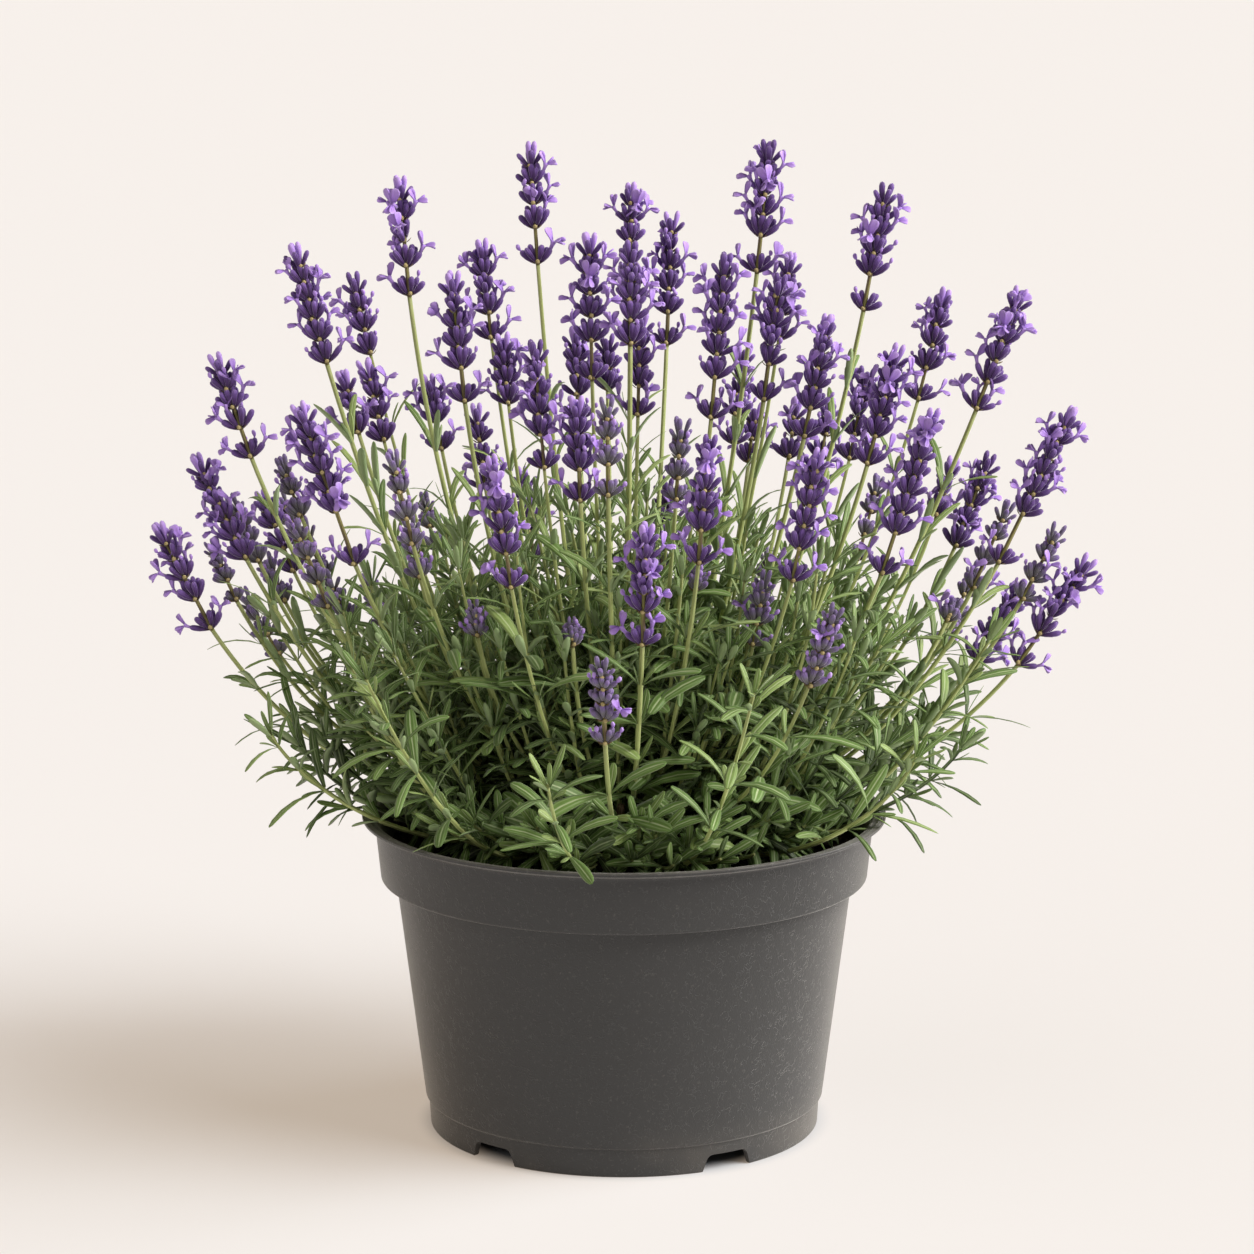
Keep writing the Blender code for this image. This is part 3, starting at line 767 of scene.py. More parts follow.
def add_node(tree, kind, *inputs, out=None, stops=(), **settings):
    """Adds one node with its settings, the values or links of its sockets in order (None leaves
    one as it is) and, on a ramp, its stops.

    It gives the node's first output, or the one that out names.
    """
    node = tree.nodes.new("ShaderNode" + kind)
    for name, value in {**USUAL.get(kind, {}), **settings}.items():
        setattr(node, name, value)
    for socket, value in zip([s for s in node.inputs if s.enabled], inputs):
        if isinstance(value, bpy.types.NodeSocket):
            tree.links.new(value, socket)
        elif value is not None:
            socket.default_value = value
    for i, (place, colour) in enumerate(stops):
        ramp = node.color_ramp.elements
        stop = ramp[i] if i < 2 else ramp.new(place)
        stop.position, stop.color = place, colour
    return node.outputs[out] if out else next(s for s in node.outputs if s.enabled)


def new_material(name, roughness, **constants):
    """A Principled material, its constants set on its own sockets, and what adds its nodes."""
    material = bpy.data.materials.new(name)
    material.use_nodes = True
    sockets = material.node_tree.nodes["Principled BSDF"].inputs
    for socket, value in {"Roughness": roughness, **constants}.items():
        sockets[socket.replace("_", " ")].default_value = value
    return material, partial(add_node, material.node_tree)


def drive(material, **patterns):
    """Links patterns to the sockets of the material's shader, by name."""
    tree = material.node_tree
    for socket, pattern in patterns.items():
        tree.links.new(pattern, tree.nodes["Principled BSDF"].inputs[socket.replace("_", " ")])
    return material


def pattern_sheet(add, blotches_along, blotches_round, detail=3.0):
    """(along, round, tile number, mottling) on the pattern sheet. The mottling is different in
    each tile: soft blotches, so many along and round it."""
    scaled = add("VectorMath", add("UVMap", uv_map="OFBake"), (SHEET, SHEET, 1), operation="MULTIPLY")
    tile = add("VectorMath", scaled, operation="FLOOR")
    local = add("VectorMath", scaled, operation="FRACTION")
    number = add("VectorMath", tile, (1, SHEET, 0), operation="DOT_PRODUCT")
    shift = add("CombineXYZ", None, None, add("Math", number, 3.7, operation="MULTIPLY"))
    place = add("VectorMath", local, (blotches_along, blotches_round, 1), operation="MULTIPLY")
    place = add("VectorMath", place, shift, operation="ADD")
    return (add("SeparateXYZ", local, out="X"), add("SeparateXYZ", local, out="Y"), number,
            add("TexNoise", place, 1.0, detail))


def distance_from(add, value, middle):
    return add("Math", add("Math", value, middle, operation="SUBTRACT"), operation="ABSOLUTE")


def shade(colour, factor):
    """A colour made lighter or darker."""
    return (*[min(1.0, c * factor) for c in colour[:3]], 1.0)


def toward(colour, other, share):
    return (*[a * (1 - share) + b * share for a, b in zip(colour[:3], other[:3])], 1.0)


def leaf_material():
    """Felted evergreen leaf: a matt grey-green skin with pale short hairs, thickest along the
    rolled margins and the midrib, and two fainter veins that run beside it. Its tiles run from
    near-black, painted shade for leaves deep in the clump, to pale young green."""
    base = tuple(colours().leaf)
    material, add = new_material(
        "felted_leaf", 0.5, IOR=1.42, Specular_IOR_Level=0.45, Sheen_Weight=0.07,
        Sheen_Roughness=0.5)
    along, across, number, spots = pattern_sheet(add, 7, 5)
    age_and_shade = add("Math", number, LEAF_TILES, operation="DIVIDE")
    # The ramp is painted shade as well as age: its darkest tiles stand for leaves deep in the clump.
    tone = add("ValToRGB", age_and_shade, stops=(
        (0.0, toward(shade(base, 0.10), linear("18230B"), 0.5)),
        (0.5, shade(base, 0.64)),
        (0.95, toward(base, linear("B2BE78"), 0.6))))
    tone = add("Mix", add("MapRange", spots, 0.35, 0.7, 0.0, 0.35), tone, shade(base, 0.6))
    from_middle = add("Math", distance_from(add, across, 0.3333), 3.0, operation="MULTIPLY")
    rib = add("MapRange", from_middle, 0.03, 0.17, 1.0, 0.0)
    side_vein = add("MapRange", distance_from(add, from_middle, 0.52), 0.02, 0.12, 0.3, 0.0)
    margin = add("MapRange", from_middle, 0.80, 1.0, 0.0, 0.75)
    under = add("MapRange", across, 0.69, 0.72, 0.0, 0.55)
    pale = add("Math", add("Math", rib, side_vein, operation="MAXIMUM"), margin, operation="MAXIMUM")
    pale = add("Math", pale, add("MapRange", along, 0.99, 0.80, 0.55, 1.0), operation="MULTIPLY")
    pale = add("Math", pale, add("MapRange", age_and_shade, 0.0, 0.5, 0.3, 0.68), operation="MULTIPLY")
    tone = add("Mix", pale, tone, toward(base, linear("D4DCB6"), 0.74))
    tone = add("Mix", under, tone, toward(base, linear("A9B896"), 0.5))
    tone = add("Mix", add("MapRange", along, 0.12, 0.0, 0.0, 0.5), tone, linear("93A25F"))
    height = add("Math", spots, add("Math", rib, 0.8, operation="MULTIPLY"), operation="SUBTRACT")
    return drive(material, Base_Color=tone, Normal=add("Bump", 0.5, 0.25 * MM, None, height))


def stem_material():
    """Soft square stem: satin yellow-green, its four ridges pale with short hairs and a painted
    highlight, the grooves between them darker with painted shade, browner near the wood and
    just under the bloom."""
    base = tuple(colours().stem)
    material, add = new_material(
        "ridged_stem", 0.52, IOR=1.43, Specular_IOR_Level=0.35, Sheen_Weight=0.1)
    along, across, _, spots = pattern_sheet(add, 24, 3)
    fold = add("Math", across, 4.0, 0.5, operation="MULTIPLY_ADD")
    fold = distance_from(add, add("Math", fold, operation="FRACT"), 0.5)
    fold = add("Math", fold, 2.0, operation="MULTIPLY")
    tone = add("ValToRGB", along, stops=(
        (0.0, toward(base, linear("7B7448"), 0.5)), (1.0, toward(base, linear("6C6742"), 0.7)),
        (0.2, shade(base, 1.1)), (0.5, shade(base, 1.05)),
        (0.8, toward(shade(base, 0.85), linear("74803F"), 0.35))))
    tone = add("Mix", add("MapRange", spots, 0.35, 0.75, 0.0, 0.5), tone, shade(base, 0.68))
    # Pale ridges: short hairs together with a painted highlight.
    ridge_hairs_and_highlight = toward(base, linear("C9CF9E"), 0.7)
    tone = add("Mix", add("MapRange", fold, 0.0, 0.38, 0.55, 0.0), tone, ridge_hairs_and_highlight)
    # The grooves between the ridges are darkened: painted shade.
    tone = add("Mix", add("MapRange", fold, 0.5, 1.0, 0.0, 0.5), tone, shade(base, 0.55))
    height = add("Math", spots, fold, operation="SUBTRACT")
    return drive(material, Base_Color=tone, Normal=add("Bump", 0.4, 0.2 * MM, None, height))


def calyx_material(name="felted_calyx", young=0.0):
    """Felted calyx: dark violet under a pale violet down, with thirteen fine ribs and an
    olive-brown foot. A young one is part grey-green."""
    base = toward(tuple(colours().calyx), linear("929C7E"), young)
    material, add = new_material(
        name, 0.6, IOR=1.42, Specular_IOR_Level=0.3, Sheen_Weight=0.95,
        Sheen_Roughness=0.28, Sheen_Tint=linear("E0D2F6"))
    along, across, number, spots = pattern_sheet(add, 5, 9)
    random = add("TexWhiteNoise", number, noise_dimensions="1D")
    tone = add("ValToRGB", along, stops=(
        (0.0, toward(base, linear("6E6248"), 0.7)), (0.82, toward(base, linear("8B6AC0"), 0.65)),
        (0.15, shade(base, 0.60)), (0.5, base), (1.0, toward(base, linear("A98AD2"), 0.8)),
    ))
    tone = add("Mix", add("MapRange", random, 0.1, 0.9, 0.0, 0.4), tone, shade(base, 0.5))
    rib = add("Math", across, 13 * 2 * math.pi, operation="MULTIPLY")
    rib = add("Math", rib, operation="COSINE")
    tone = add("Mix", add("MapRange", rib, 0.2, 1.0, 0.0, 0.18), tone, linear("A086C0"))
    tone = add("Mix", add("MapRange", spots, 0.4, 0.7, 0.0, 0.35), tone, shade(base, 0.55))
    height = add("Math", rib, spots, operation="ADD")
    return drive(material, Base_Color=tone, Normal=add("Bump", 0.6, 0.12 * MM, None, height))


def petal_material():
    """Thin lilac corolla: clear violet-blue lobes, paler at their rims, and a tube that darkens to
    near-black at its mouth, painted shade of the opening.
    """
    base = tuple(colours().petal)
    material, add = new_material(
        "lilac_petal", 0.50, IOR=1.40, Specular_IOR_Level=0.25, Sheen_Weight=0.15)
    along, _, number, veins = pattern_sheet(add, 3, 14)
    random = add("TexWhiteNoise", number, noise_dimensions="1D")
    lobe = add("ValToRGB", along, stops=(
        (0.0, shade(toward(base, linear("7448B0"), 0.6), 0.8)),
        (1.0, toward(base, linear("D6BEF0"), 0.6)),
        (0.35, toward(base, linear("9A6CD0"), 0.5)), (0.75, base)))
    lobe = add("Mix", add("MapRange", random, 0.0, 1.0, 0.0, 0.4), lobe, shade(base, 0.72))
    lobe = add("Mix", add("MapRange", veins, 0.42, 0.66, 0.0, 0.28), lobe, shade(base, 0.6))
    # The tube's mouth end turns near-black: painted shade where the opening would be.
    throat_and_painted_shade = add("ValToRGB", along, stops=(
        (0.0, shade(base, 0.7)), (1.0, linear("2A1348")), (0.93, base)))
    tone = add("Mix", add("Math", number, THROAT_TILE, 0.5, operation="COMPARE"), lobe, throat_and_painted_shade)
    return drive(material, Base_Color=tone, Normal=add("Bump", 0.4, 0.1 * MM, None, veins))


def bract_material():
    """Papery bracts, dry scales and the spike's square axis: gold, tan and olive, all matt."""
    material, add = new_material("papery_bract", 0.75, IOR=1.45, Specular_IOR_Level=0.2)
    _, _, number, spots = pattern_sheet(add, 6, 6)
    tan = add("Mix", add("MapRange", spots, 0.35, 0.7), linear("8C7D55"), linear("5E4A45"))
    olive = add("Mix", add("MapRange", spots, 0.35, 0.7), linear("87854E"), linear("6A5A4A"))
    tone = add("Mix", add("Math", number, AXIS_TILE, 0.5, operation="COMPARE"), tan, olive)
    gold = add("Mix", add("MapRange", spots, 0.4, 0.7), linear("B8A878"), linear("8E8058"))
    tone = add("Mix", add("Math", number, KNOT_TILE, 0.5, operation="COMPARE"), tone, gold)
    return drive(material, Base_Color=tone, Normal=add("Bump", 0.5, 0.2 * MM, None, spots))


def object_noise(add, scale, detail=3.0, stretch=(1.0, 1.0, 1.0), roughness=0.5):
    """Noise in real space; the scale is in features per metre."""
    place = add("Mapping", add("TexCoord", out="Object"), None, None, stretch)
    return add("TexNoise", place, scale, detail, roughness)


def pot_material():
    """Injection-moulded polypropylene: dark grey, low sheen, with a fine spark texture, dust
    in the grain, short raised curls like those of leather and a lip lighter over its top millimetre."""
    base = tuple(colours().pot)
    material, add = new_material(
        "moulded_polypropylene", 0.5, IOR=1.49, Specular_IOR_Level=0.42, Sheen_Weight=0.6,
        Sheen_Roughness=0.32, Sheen_Tint=linear("F6F2EC"))
    cloud = object_noise(add, 16.0, 4.0)
    grain = object_noise(add, 1500.0, 2.0)
    dust = object_noise(add, 620.0, 2.0, roughness=0.7)
    scuff = object_noise(add, 34.0, 6.0, stretch=(1.0, 1.0, 2.6), roughness=0.75)
    tone = add("Mix", add("MapRange", cloud, 0.35, 0.7, 0.0, 0.5), shade(base, 0.92), shade(base, 1.1))
    tone = add("Mix", add("MapRange", dust, 0.60, 0.74, 0.0, 0.14), tone, linear("8E8A84"))
    curl = distance_from(add, object_noise(add, 400.0, 1.0), 0.5)
    patch = add("MapRange", object_noise(add, 260.0, 2.0), 0.42, 0.60)
    curl = add("Math", add("MapRange", curl, 0.0, 0.035, 1.0, 0.0), patch, operation="MULTIPLY")
    tone = add("Mix", add("Math", curl, 0.055, operation="MULTIPLY"), tone, linear("9A9C9C"))
    height = add("SeparateXYZ", add("TexCoord", out="Object"), out="Z")
    # Lighter over the top millimetre of the lip.
    lip_top_lighter = add("MapRange", height, POT_HEIGHT - 1.0 * MM, POT_HEIGHT, 0.0, 0.35)
    tone = add("Mix", lip_top_lighter, tone, linear("77736E"))
    low = add("MapRange", height, 26 * MM, 0.0, 0.0, 0.35)
    low = add("Math", low, add("MapRange", cloud, 0.4, 0.7), operation="MULTIPLY")
    tone = add("Mix", low, tone, linear("6E675E"))
    relief = add("Math", scuff, 0.6, add("Math", grain, curl, operation="ADD"),
                 operation="MULTIPLY_ADD")
    return drive(material, Base_Color=tone, Roughness=add("MapRange", cloud, 0.3, 0.7, 0.38, 0.48),
                 Normal=add("Bump", 0.7, 0.14 * MM, None, relief))


def soil_material():
    """Damp peat and bark mix: near-black brown crumbs, with a few paler fibres."""
    material, add = new_material("potting_mix", 0.92, Specular_IOR_Level=0.2)
    lumps = object_noise(add, 160.0, 5.0)
    fibres = object_noise(add, 420.0, 2.0, stretch=(1.0, 0.3, 1.0))
    tone = add("ValToRGB", lumps, stops=(
        (0.30, linear("1C140E")), (0.75, linear("4A3828")), (0.52, linear("2C2018"))))
    tone = add("Mix", add("MapRange", fibres, 0.62, 0.74, 0.0, 0.6), tone, linear("6E5A42"))
    return drive(material, Base_Color=tone, Normal=add("Bump", 0.9, 1.6 * MM, None, lumps))


def bark_material():
    """Old lavender wood: grey-brown bark that splits lengthwise into thin strips."""
    material, add = new_material("stringy_bark", 0.85, Specular_IOR_Level=0.25)
    strips = pattern_sheet(add, 3, 16, 4.0)[3]
    tone = add("ValToRGB", strips, stops=(
        (0.32, linear("3A2E22")), (0.7, linear("94826A")), (0.5, linear("6A5843"))))
    return drive(material, Base_Color=tone, Normal=add("Bump", 0.9, 0.8 * MM, None, strips))


MAKERS = {
    "leaf": leaf_material, "stem": stem_material, "calyx": calyx_material,
    "young_calyx": lambda: calyx_material("felted_young_calyx", 0.5),
    "petal": petal_material, "bract": bract_material, "pot": pot_material,
    "soil": soil_material, "bark": bark_material,
}
made = {}


def finish_of(name):
    """The material of that name, made the first time that it is asked for."""
    if name not in made:
        made[name] = MAKERS[name]()
    return made[name]


def green():
    return [finish_of("leaf"), finish_of("stem")]


def floral(plans):
    """The finishes of some blooms; the fourth is there only where one of them is young."""
    names = ["calyx", "petal", "bract"] + ["young_calyx"] * any(plan[6] < 0 for plan in plans)
    return [finish_of(name) for name in names]


def keep(obj, slot, *nodes):
    """Rides the piece on the one body, in place of the solids that it stands for."""
    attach(obj, "root")
    if nodes:
        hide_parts(*nodes)


# Pot


def body_radius(height):
    share = (height - STEP_Z) / (COLLAR_BASE_Z - STEP_Z)
    return BODY_BASE_RADIUS + share * (BODY_TOP_RADIUS - BODY_BASE_RADIUS)


def rounded(outline, steps=5):
    """Each corner (radius, height, rounding) becomes a quadratic arc that starts and ends its
    rounding away along the two sides: b + (1-t)^2 (p-b) + t^2 (q-b) for t from 0 to 1."""
    points = []
    corners = [np.array(c[:2]) for c in outline]
    for i, (_, _, rounding) in enumerate(outline):
        b = corners[i]
        if not rounding or i in (0, len(outline) - 1):
            points.append(b[None])
            continue
        before, after = corners[i - 1] - b, corners[i + 1] - b
        reach = min(rounding, 0.48 * np.linalg.norm(before), 0.48 * np.linalg.norm(after))
        t = np.linspace(0, 1, steps)[:, None]
        points.append(b + (1 - t) ** 2 * unit(before) * reach + t ** 2 * unit(after) * reach)
    return np.concatenate(points)


def revolve(outline, steps):
    """Rings from (radius, height) points turned about the upright axis: (r cos a, r sin a, z)."""
    level = outline[:, None, :1] * round_section(steps)
    return np.concatenate([level, np.broadcast_to(outline[:, None, 1:], level[..., :1].shape)], axis=2)


def pot_outline():
    """From the middle of the underside, up the outside, over the lip and down to the floor."""
    inner_foot = FOOT_RADIUS - FOOT_WIDTH
    floor_top = FLOOR_Z + FLOOR_THICKNESS
    r = 0.6 * MM
    corners = [
        (0.0, FLOOR_Z, 0), (inner_foot, FLOOR_Z, r), (inner_foot, 0.0, r), (FOOT_RADIUS, 0.0, r),
        (BODY_BASE_RADIUS - STEP_DEPTH, STEP_Z - 0.5 * MM, 0.4 * MM),
        (BODY_BASE_RADIUS, STEP_Z + 0.5 * MM, 0.5 * MM),
        (BODY_TOP_RADIUS, COLLAR_BASE_Z - 0.6 * MM, 0.8 * MM),
        (COLLAR_BASE_RADIUS, COLLAR_BASE_Z, 1.2 * MM),
        (COLLAR_TOP_RADIUS, POT_HEIGHT - 3.4 * MM, 1.6 * MM),
        (LIP_RADIUS, POT_HEIGHT - LIP_THICKNESS, 0.5 * MM),
        (LIP_RADIUS, POT_HEIGHT, 0.5 * MM),
        (LIP_RADIUS - 2.6 * MM, POT_HEIGHT, 0.3 * MM),
        (LIP_RADIUS - 3.0 * MM, POT_HEIGHT - 0.7 * MM, 0.2 * MM),
        (LIP_RADIUS - 5.4 * MM, POT_HEIGHT - 0.9 * MM, 0.8 * MM),
        (COLLAR_TOP_RADIUS - WALL, POT_HEIGHT - 3.4 * MM, 1.4 * MM),
        (COLLAR_BASE_RADIUS - WALL, COLLAR_BASE_Z + 1.9 * MM, 1.2 * MM),
        (body_radius(COLLAR_BASE_Z) - WALL, COLLAR_BASE_Z + 0.6 * MM, 1.0 * MM),
        (BODY_BASE_RADIUS - STEP_DEPTH - WALL, floor_top, 2.0 * MM),
        (0.0, floor_top, 0),
    ]
    return rounded(corners)


def on_foot(bearing):
    """The directions across and out at a bearing from the front, turning towards +X."""
    turn = math.radians(bearing)
    return (np.array([math.cos(turn), math.sin(turn), 0.0]),
            np.array([math.sin(turn), -math.cos(turn), 0.0]))


def prism(flat, lift):
    """A cutter: a flat outline carried a way to each side."""
    rings = np.stack([flat + lift, flat - lift])
    return solid(rings, *rings.mean(axis=1))


def notch_cutter(bearing):
    """A wedge through the foot ring, wider at the ground, its two upper corners rounded."""
    top, base = 0.5 * NOTCH_TOP_WIDTH, 0.5 * NOTCH_BASE_WIDTH
    outline = rounded([
        (-base - 1 * MM, -3 * MM, 0), (-top, NOTCH_HEIGHT, NOTCH_ROUNDING),
        (top, NOTCH_HEIGHT, NOTCH_ROUNDING), (base + 1 * MM, -3 * MM, 0)])
    across, out = on_foot(bearing)
    return prism(outline[:, :1] * across + outline[:, 1:] * UP + out * FOOT_RADIUS, out * 9 * MM)


def drain_cutter(bearing):
    """An upright round bar through the pot's floor."""
    circle = around(np.arange(32) * 2 * np.pi / 32) * DRAIN_RADIUS
    return prism(circle + on_foot(bearing)[1] * DRAIN_CIRCLE + UP * FLOOR_Z, UP * -8 * MM)


def cut_away(obj, cutters):
    """Takes the cutters out of a mesh with an exact Boolean and keeps only the result."""
    tool = build("cutters", cutters, [])
    trim = obj.modifiers.new("cut", "BOOLEAN")
    trim.operation, trim.solver, trim.object = "DIFFERENCE", "EXACT", tool
    graph = bpy.context.evaluated_depsgraph_get()
    mesh = bpy.data.meshes.new_from_object(obj.evaluated_get(graph))
    obj.modifiers.clear()
    obj.data = mesh
    bpy.data.objects.remove(tool)
    obj.data.set_sharp_from_angle(angle=math.radians(38))


class LAVENDER_OT_pot(bpy.types.Operator):
    """Turns the pot and cuts its drainage notches and holes"""

    bl_idname = "lavender.pot"
    bl_label = "Nursery pot"

    def execute(self, context):
        outline = pot_outline()
        start, end = (np.array([0.0, 0.0, height]) for height in outline[[0, -1], 1])
        pot = build("nursery_pot", [solid(revolve(outline[1:-1], POT_SIDES), start, end)],
                    [finish_of("pot")])
        bearings = [NOTCH_FIRST_BEARING + i * 360.0 / NOTCH_COUNT for i in range(NOTCH_COUNT)]
        faces = len(pot.data.polygons)
        cut_away(pot, [notch_cutter(b) for b in bearings] + [drain_cutter(b) for b in bearings])
        if len(pot.data.polygons) == faces:
            raise RuntimeError("the pot's notches weren't cut")
        keep(pot, "pot_plastic", "pot")
        return {"FINISHED"}


# Soil and crown


def ripple(points, scale, seed):
    """Smooth bumps: a sum of six sine waves of random direction and phase, from -1 to 1."""
    rng = np.random.default_rng(seed)
    directions = rng.normal(0, 1, (6, 3)) * scale
    phases = rng.uniform(0, 2 * np.pi, 6)
    return np.sin(points @ directions.T + phases).mean(axis=-1) * 1.6


class LAVENDER_OT_soil(bpy.types.Operator):
    """Fills the pot with crumbly potting mix"""

    bl_idname = "lavender.soil"
    bl_label = "Potting mix"

    def execute(self, context):
        rng = np.random.default_rng(31)
        edge = COLLAR_BASE_RADIUS - WALL + 0.4 * MM
        level = SOIL_TOP - 2 * MM
        radii = np.linspace(edge, 0.0, 64)[:-1]
        top = revolve(np.column_stack([radii, np.full(len(radii), level)]), SOIL_SIDES)
        fall = np.clip((radii / edge - 0.6) / 0.4, 0, 1)[:, None] ** 2
        top[..., 2] += (ripple(top, 900, 1) * 1.4 + ripple(top, 2600, 2) * 0.7) * MM - fall * 2 * MM
        low = np.array([
            (FOOT_RADIUS - FOOT_WIDTH, FLOOR_Z + FLOOR_THICKNESS + GAP),
            (BODY_TOP_RADIUS - WALL - 0.4 * MM, COLLAR_BASE_Z + 1.0 * MM),
            (edge - 0.8 * MM, COLLAR_BASE_Z + 2.6 * MM)])
        rings = np.concatenate([revolve(low, SOIL_SIDES), top])
        shapes = [solid(rings, UP * low[0, 1], UP * level)]
        reach = edge * np.sqrt(rng.uniform(0.05, 0.97, CRUMBS))
        turn = rng.uniform(0, 2 * np.pi, CRUMBS)
        place = around(turn) * column(reach) + UP * (level - 0.6 * MM)
        axis = unit(rng.normal(0, 1, (CRUMBS, 3)) + [0, 0, 0.4])
        face = square_to(axis, rng.normal(0, 1, (CRUMBS, 3)))
        size = rng.uniform(1.6, 5.2, CRUMBS) * MM
        shapes.append(arcs(place, axis, face, size, size * rng.uniform(0.5, 0.9, CRUMBS), 0.3,
                           KNOT_PROFILE, round_section(6) * (1, 0.7), 0, 0))
        keep(build("potting_mix", shapes, [finish_of("soil")]), "potting_mix", "potting_soil")
        return {"FINISHED"}


class LAVENDER_OT_crown(bpy.types.Operator):
    """Grows the short woody branches that the green stems come from"""

    bl_idname = "lavender.crown"
    bl_label = "Woody crown"

    def execute(self, context):
        rng = np.random.default_rng(47)
        shapes = []
        for index in range(BRANCHES):
            turn = index * 2.4 + rng.uniform(-0.3, 0.3)
            start = 34 * MM * math.sqrt((index + 0.5) / BRANCHES)
            reach = start + rng.uniform(8, 26) * MM
            rise = (14 + 22 * rng.random()) * MM
            s = np.linspace(0, 1, 9)[:, None]
            out = np.array([math.cos(turn), math.sin(turn), 0.0])
            wobble = ripple(s * (3.0, 1.0, 2.0) + index, 2.0, index)[:, None] * 1.6 * MM
            path = (out * (start + (reach - start) * s ** 1.4) + UP * (SOIL_TOP - 5 * MM + rise * s)
                    + np.cross(out, UP) * wobble)
            radii = np.linspace(3.4, 1.5, 9) * MM * rng.uniform(0.7, 1.15)
            shapes.append(tube(path, radii, round_section(8), index % 16, 0))
        keep(build("crown_branches", shapes, [finish_of("bark")]), "crown_wood", "woody_crown")
        return {"FINISHED"}


# Flower stalks


class LAVENDER_OT_stalks(bpy.types.Operator):
    """Grows the flower stalks that have solids of their own"""

    bl_idname = "lavender.stalks"
    bl_label = "Flower stalks"

    def execute(self, context):
        for index, plan in enumerate(STALKS, start=1):
            stem, flowers = flower_stalk(plan, index)
            keep(build(f"stalk_{index:02d}", stem, green()), "stem_green",
                 f"flower_stem_{index:02d}")
            keep(build(f"bloom_{index:02d}", flowers, floral([plan])), "flower_violet",
                 f"flower_spike_{index:02d}")
        return {"FINISHED"}


class LAVENDER_OT_more_stalks(bpy.types.Operator):
    """Grows the stalks that stand among and behind those"""

    bl_idname = "lavender.more_stalks"
    bl_label = "Stalks among them"

    def execute(self, context):
        index = 100
        for region, plans in MORE_STALKS.items():
            stems, blooms = [], []
            for plan in plans:
                index += 1
                stem, flowers = flower_stalk(plan, index)
                stems += stem
                blooms += flowers
            keep(build(f"stalks_{region}", stems, green()), "stem_green")
            keep(build(f"blooms_{region}", blooms, floral(plans)), "flower_violet")
        return {"FINISHED"}


# Foliage


def shoot_shapes(start_share, start_height, tip, lean, rng, pitch, ages_and_shade, broad):
    """A leafy shoot: its stem, leaf pairs that shorten towards the tip, and the tip's tuft."""
    path = grown_path(start_share, start_height, tip, lean)
    total = lengths_along(path)[-1]
    points = walk(path, np.linspace(0, total, 18))[0]
    # Deep in the clump the stem takes the darkest leaf tile, as painted shade.
    looks_or_painted_shade = (0, 0) if ages_and_shade < 0.12 else (STEM_TILE, 1)  # deep in the clump a stem is dark as a leaf
    shapes = [tube(points, np.linspace(1.25, 0.7, 18) * MM, ridged_section(), *looks_or_painted_shade)]
    count = max(3, int((total - 8 * MM) / pitch))
    share = (np.arange(count) + 0.6) / count
    vigour = np.where(share < 0.7, 0.86 + 0.2 * share, 1.0 - 1.1 * (share - 0.7))
    shapes += leafy(path, total * (0.12 + 0.86 * share), vigour, rng, ages_and_shade + 0.25 * share, broad)
    return shapes + tuft(path, rng, ages_and_shade + 0.3, broad)


class LAVENDER_OT_shoots(bpy.types.Operator):
    """Grows the leafy shoots round the edge"""

    bl_idname = "lavender.shoots"
    bl_label = "Edge shoots"

    def execute(self, context):
        for index in range(1, SHOOT_COUNT + 1):
            rng = np.random.default_rng(300 + index)
            turn = 2 * math.pi * (index - 0.5) / SHOOT_COUNT + math.radians(SHOOT_TURN)
            tip = np.array([
                math.sin(turn) * SHOOT_REACH_ACROSS, -math.cos(turn) * SHOOT_REACH_DEPTH,
                SHOOT_HIGH_TIP if index % 2 else SHOOT_LOW_TIP])
            share = SHOOT_START_RADIUS / math.hypot(tip[0], tip[1])
            shapes = shoot_shapes(share, SOIL_TOP + 4 * MM, tip, SHOOT_LEAN, rng, 15 * MM, 0.36, 0.5)
            keep(build(f"edge_shoot_{index:02d}", shapes, green()), "leaf_green",
                 f"leafy_shoot_{index:02d}")
        return {"FINISHED"}


class LAVENDER_OT_foliage(bpy.types.Operator):
    """Fills the clump with leafy shoots"""

    bl_idname = "lavender.foliage"
    bl_label = "Inner foliage"

    def execute(self, context):
        groups = [[] for _ in range(INNER_GROUPS)]
        rng = np.random.default_rng(77)
        for count, reaches, heights, leans, pitch, broad in FILLING:
            for index in range(count):
                turn = 2 * math.pi * (index + rng.uniform(-0.4, 0.4)) / count
                reach = rng.uniform(*reaches)
                inward = (reaches[1] - reach) / (reaches[1] - reaches[0])
                height = heights[0] + (heights[1] - heights[0]) * (
                    0.6 * inward + 0.4 * rng.random())
                tip = np.array([math.sin(turn) * reach, -math.cos(turn) * reach, height]) * MM
                start = min(0.62, 22 / reach + 0.22)
                if height > SKIRT_HEIGHT and math.cos(turn) * reach > FRONT_LIMIT:
                    continue
                # Lower shoots, deeper in the clump, get darker leaf tiles as painted shade; the skirt
                # over the lip gets less of it.
                age_and_shade = 0.02 + 0.0027 * (height - 150) + 0.2 * (height < SKIRT_HEIGHT)
                groups[int(turn / (2 * math.pi) * INNER_GROUPS) % INNER_GROUPS] += shoot_shapes(
                    start, SOIL_TOP + 3 * MM, tip, rng.uniform(*leans), rng, pitch * MM, age_and_shade, broad)
        for index, shapes in enumerate(groups, start=1):
            keep(build(f"foliage_{index}", shapes, green()), "leaf_green")
        return {"FINISHED"}


# Stage


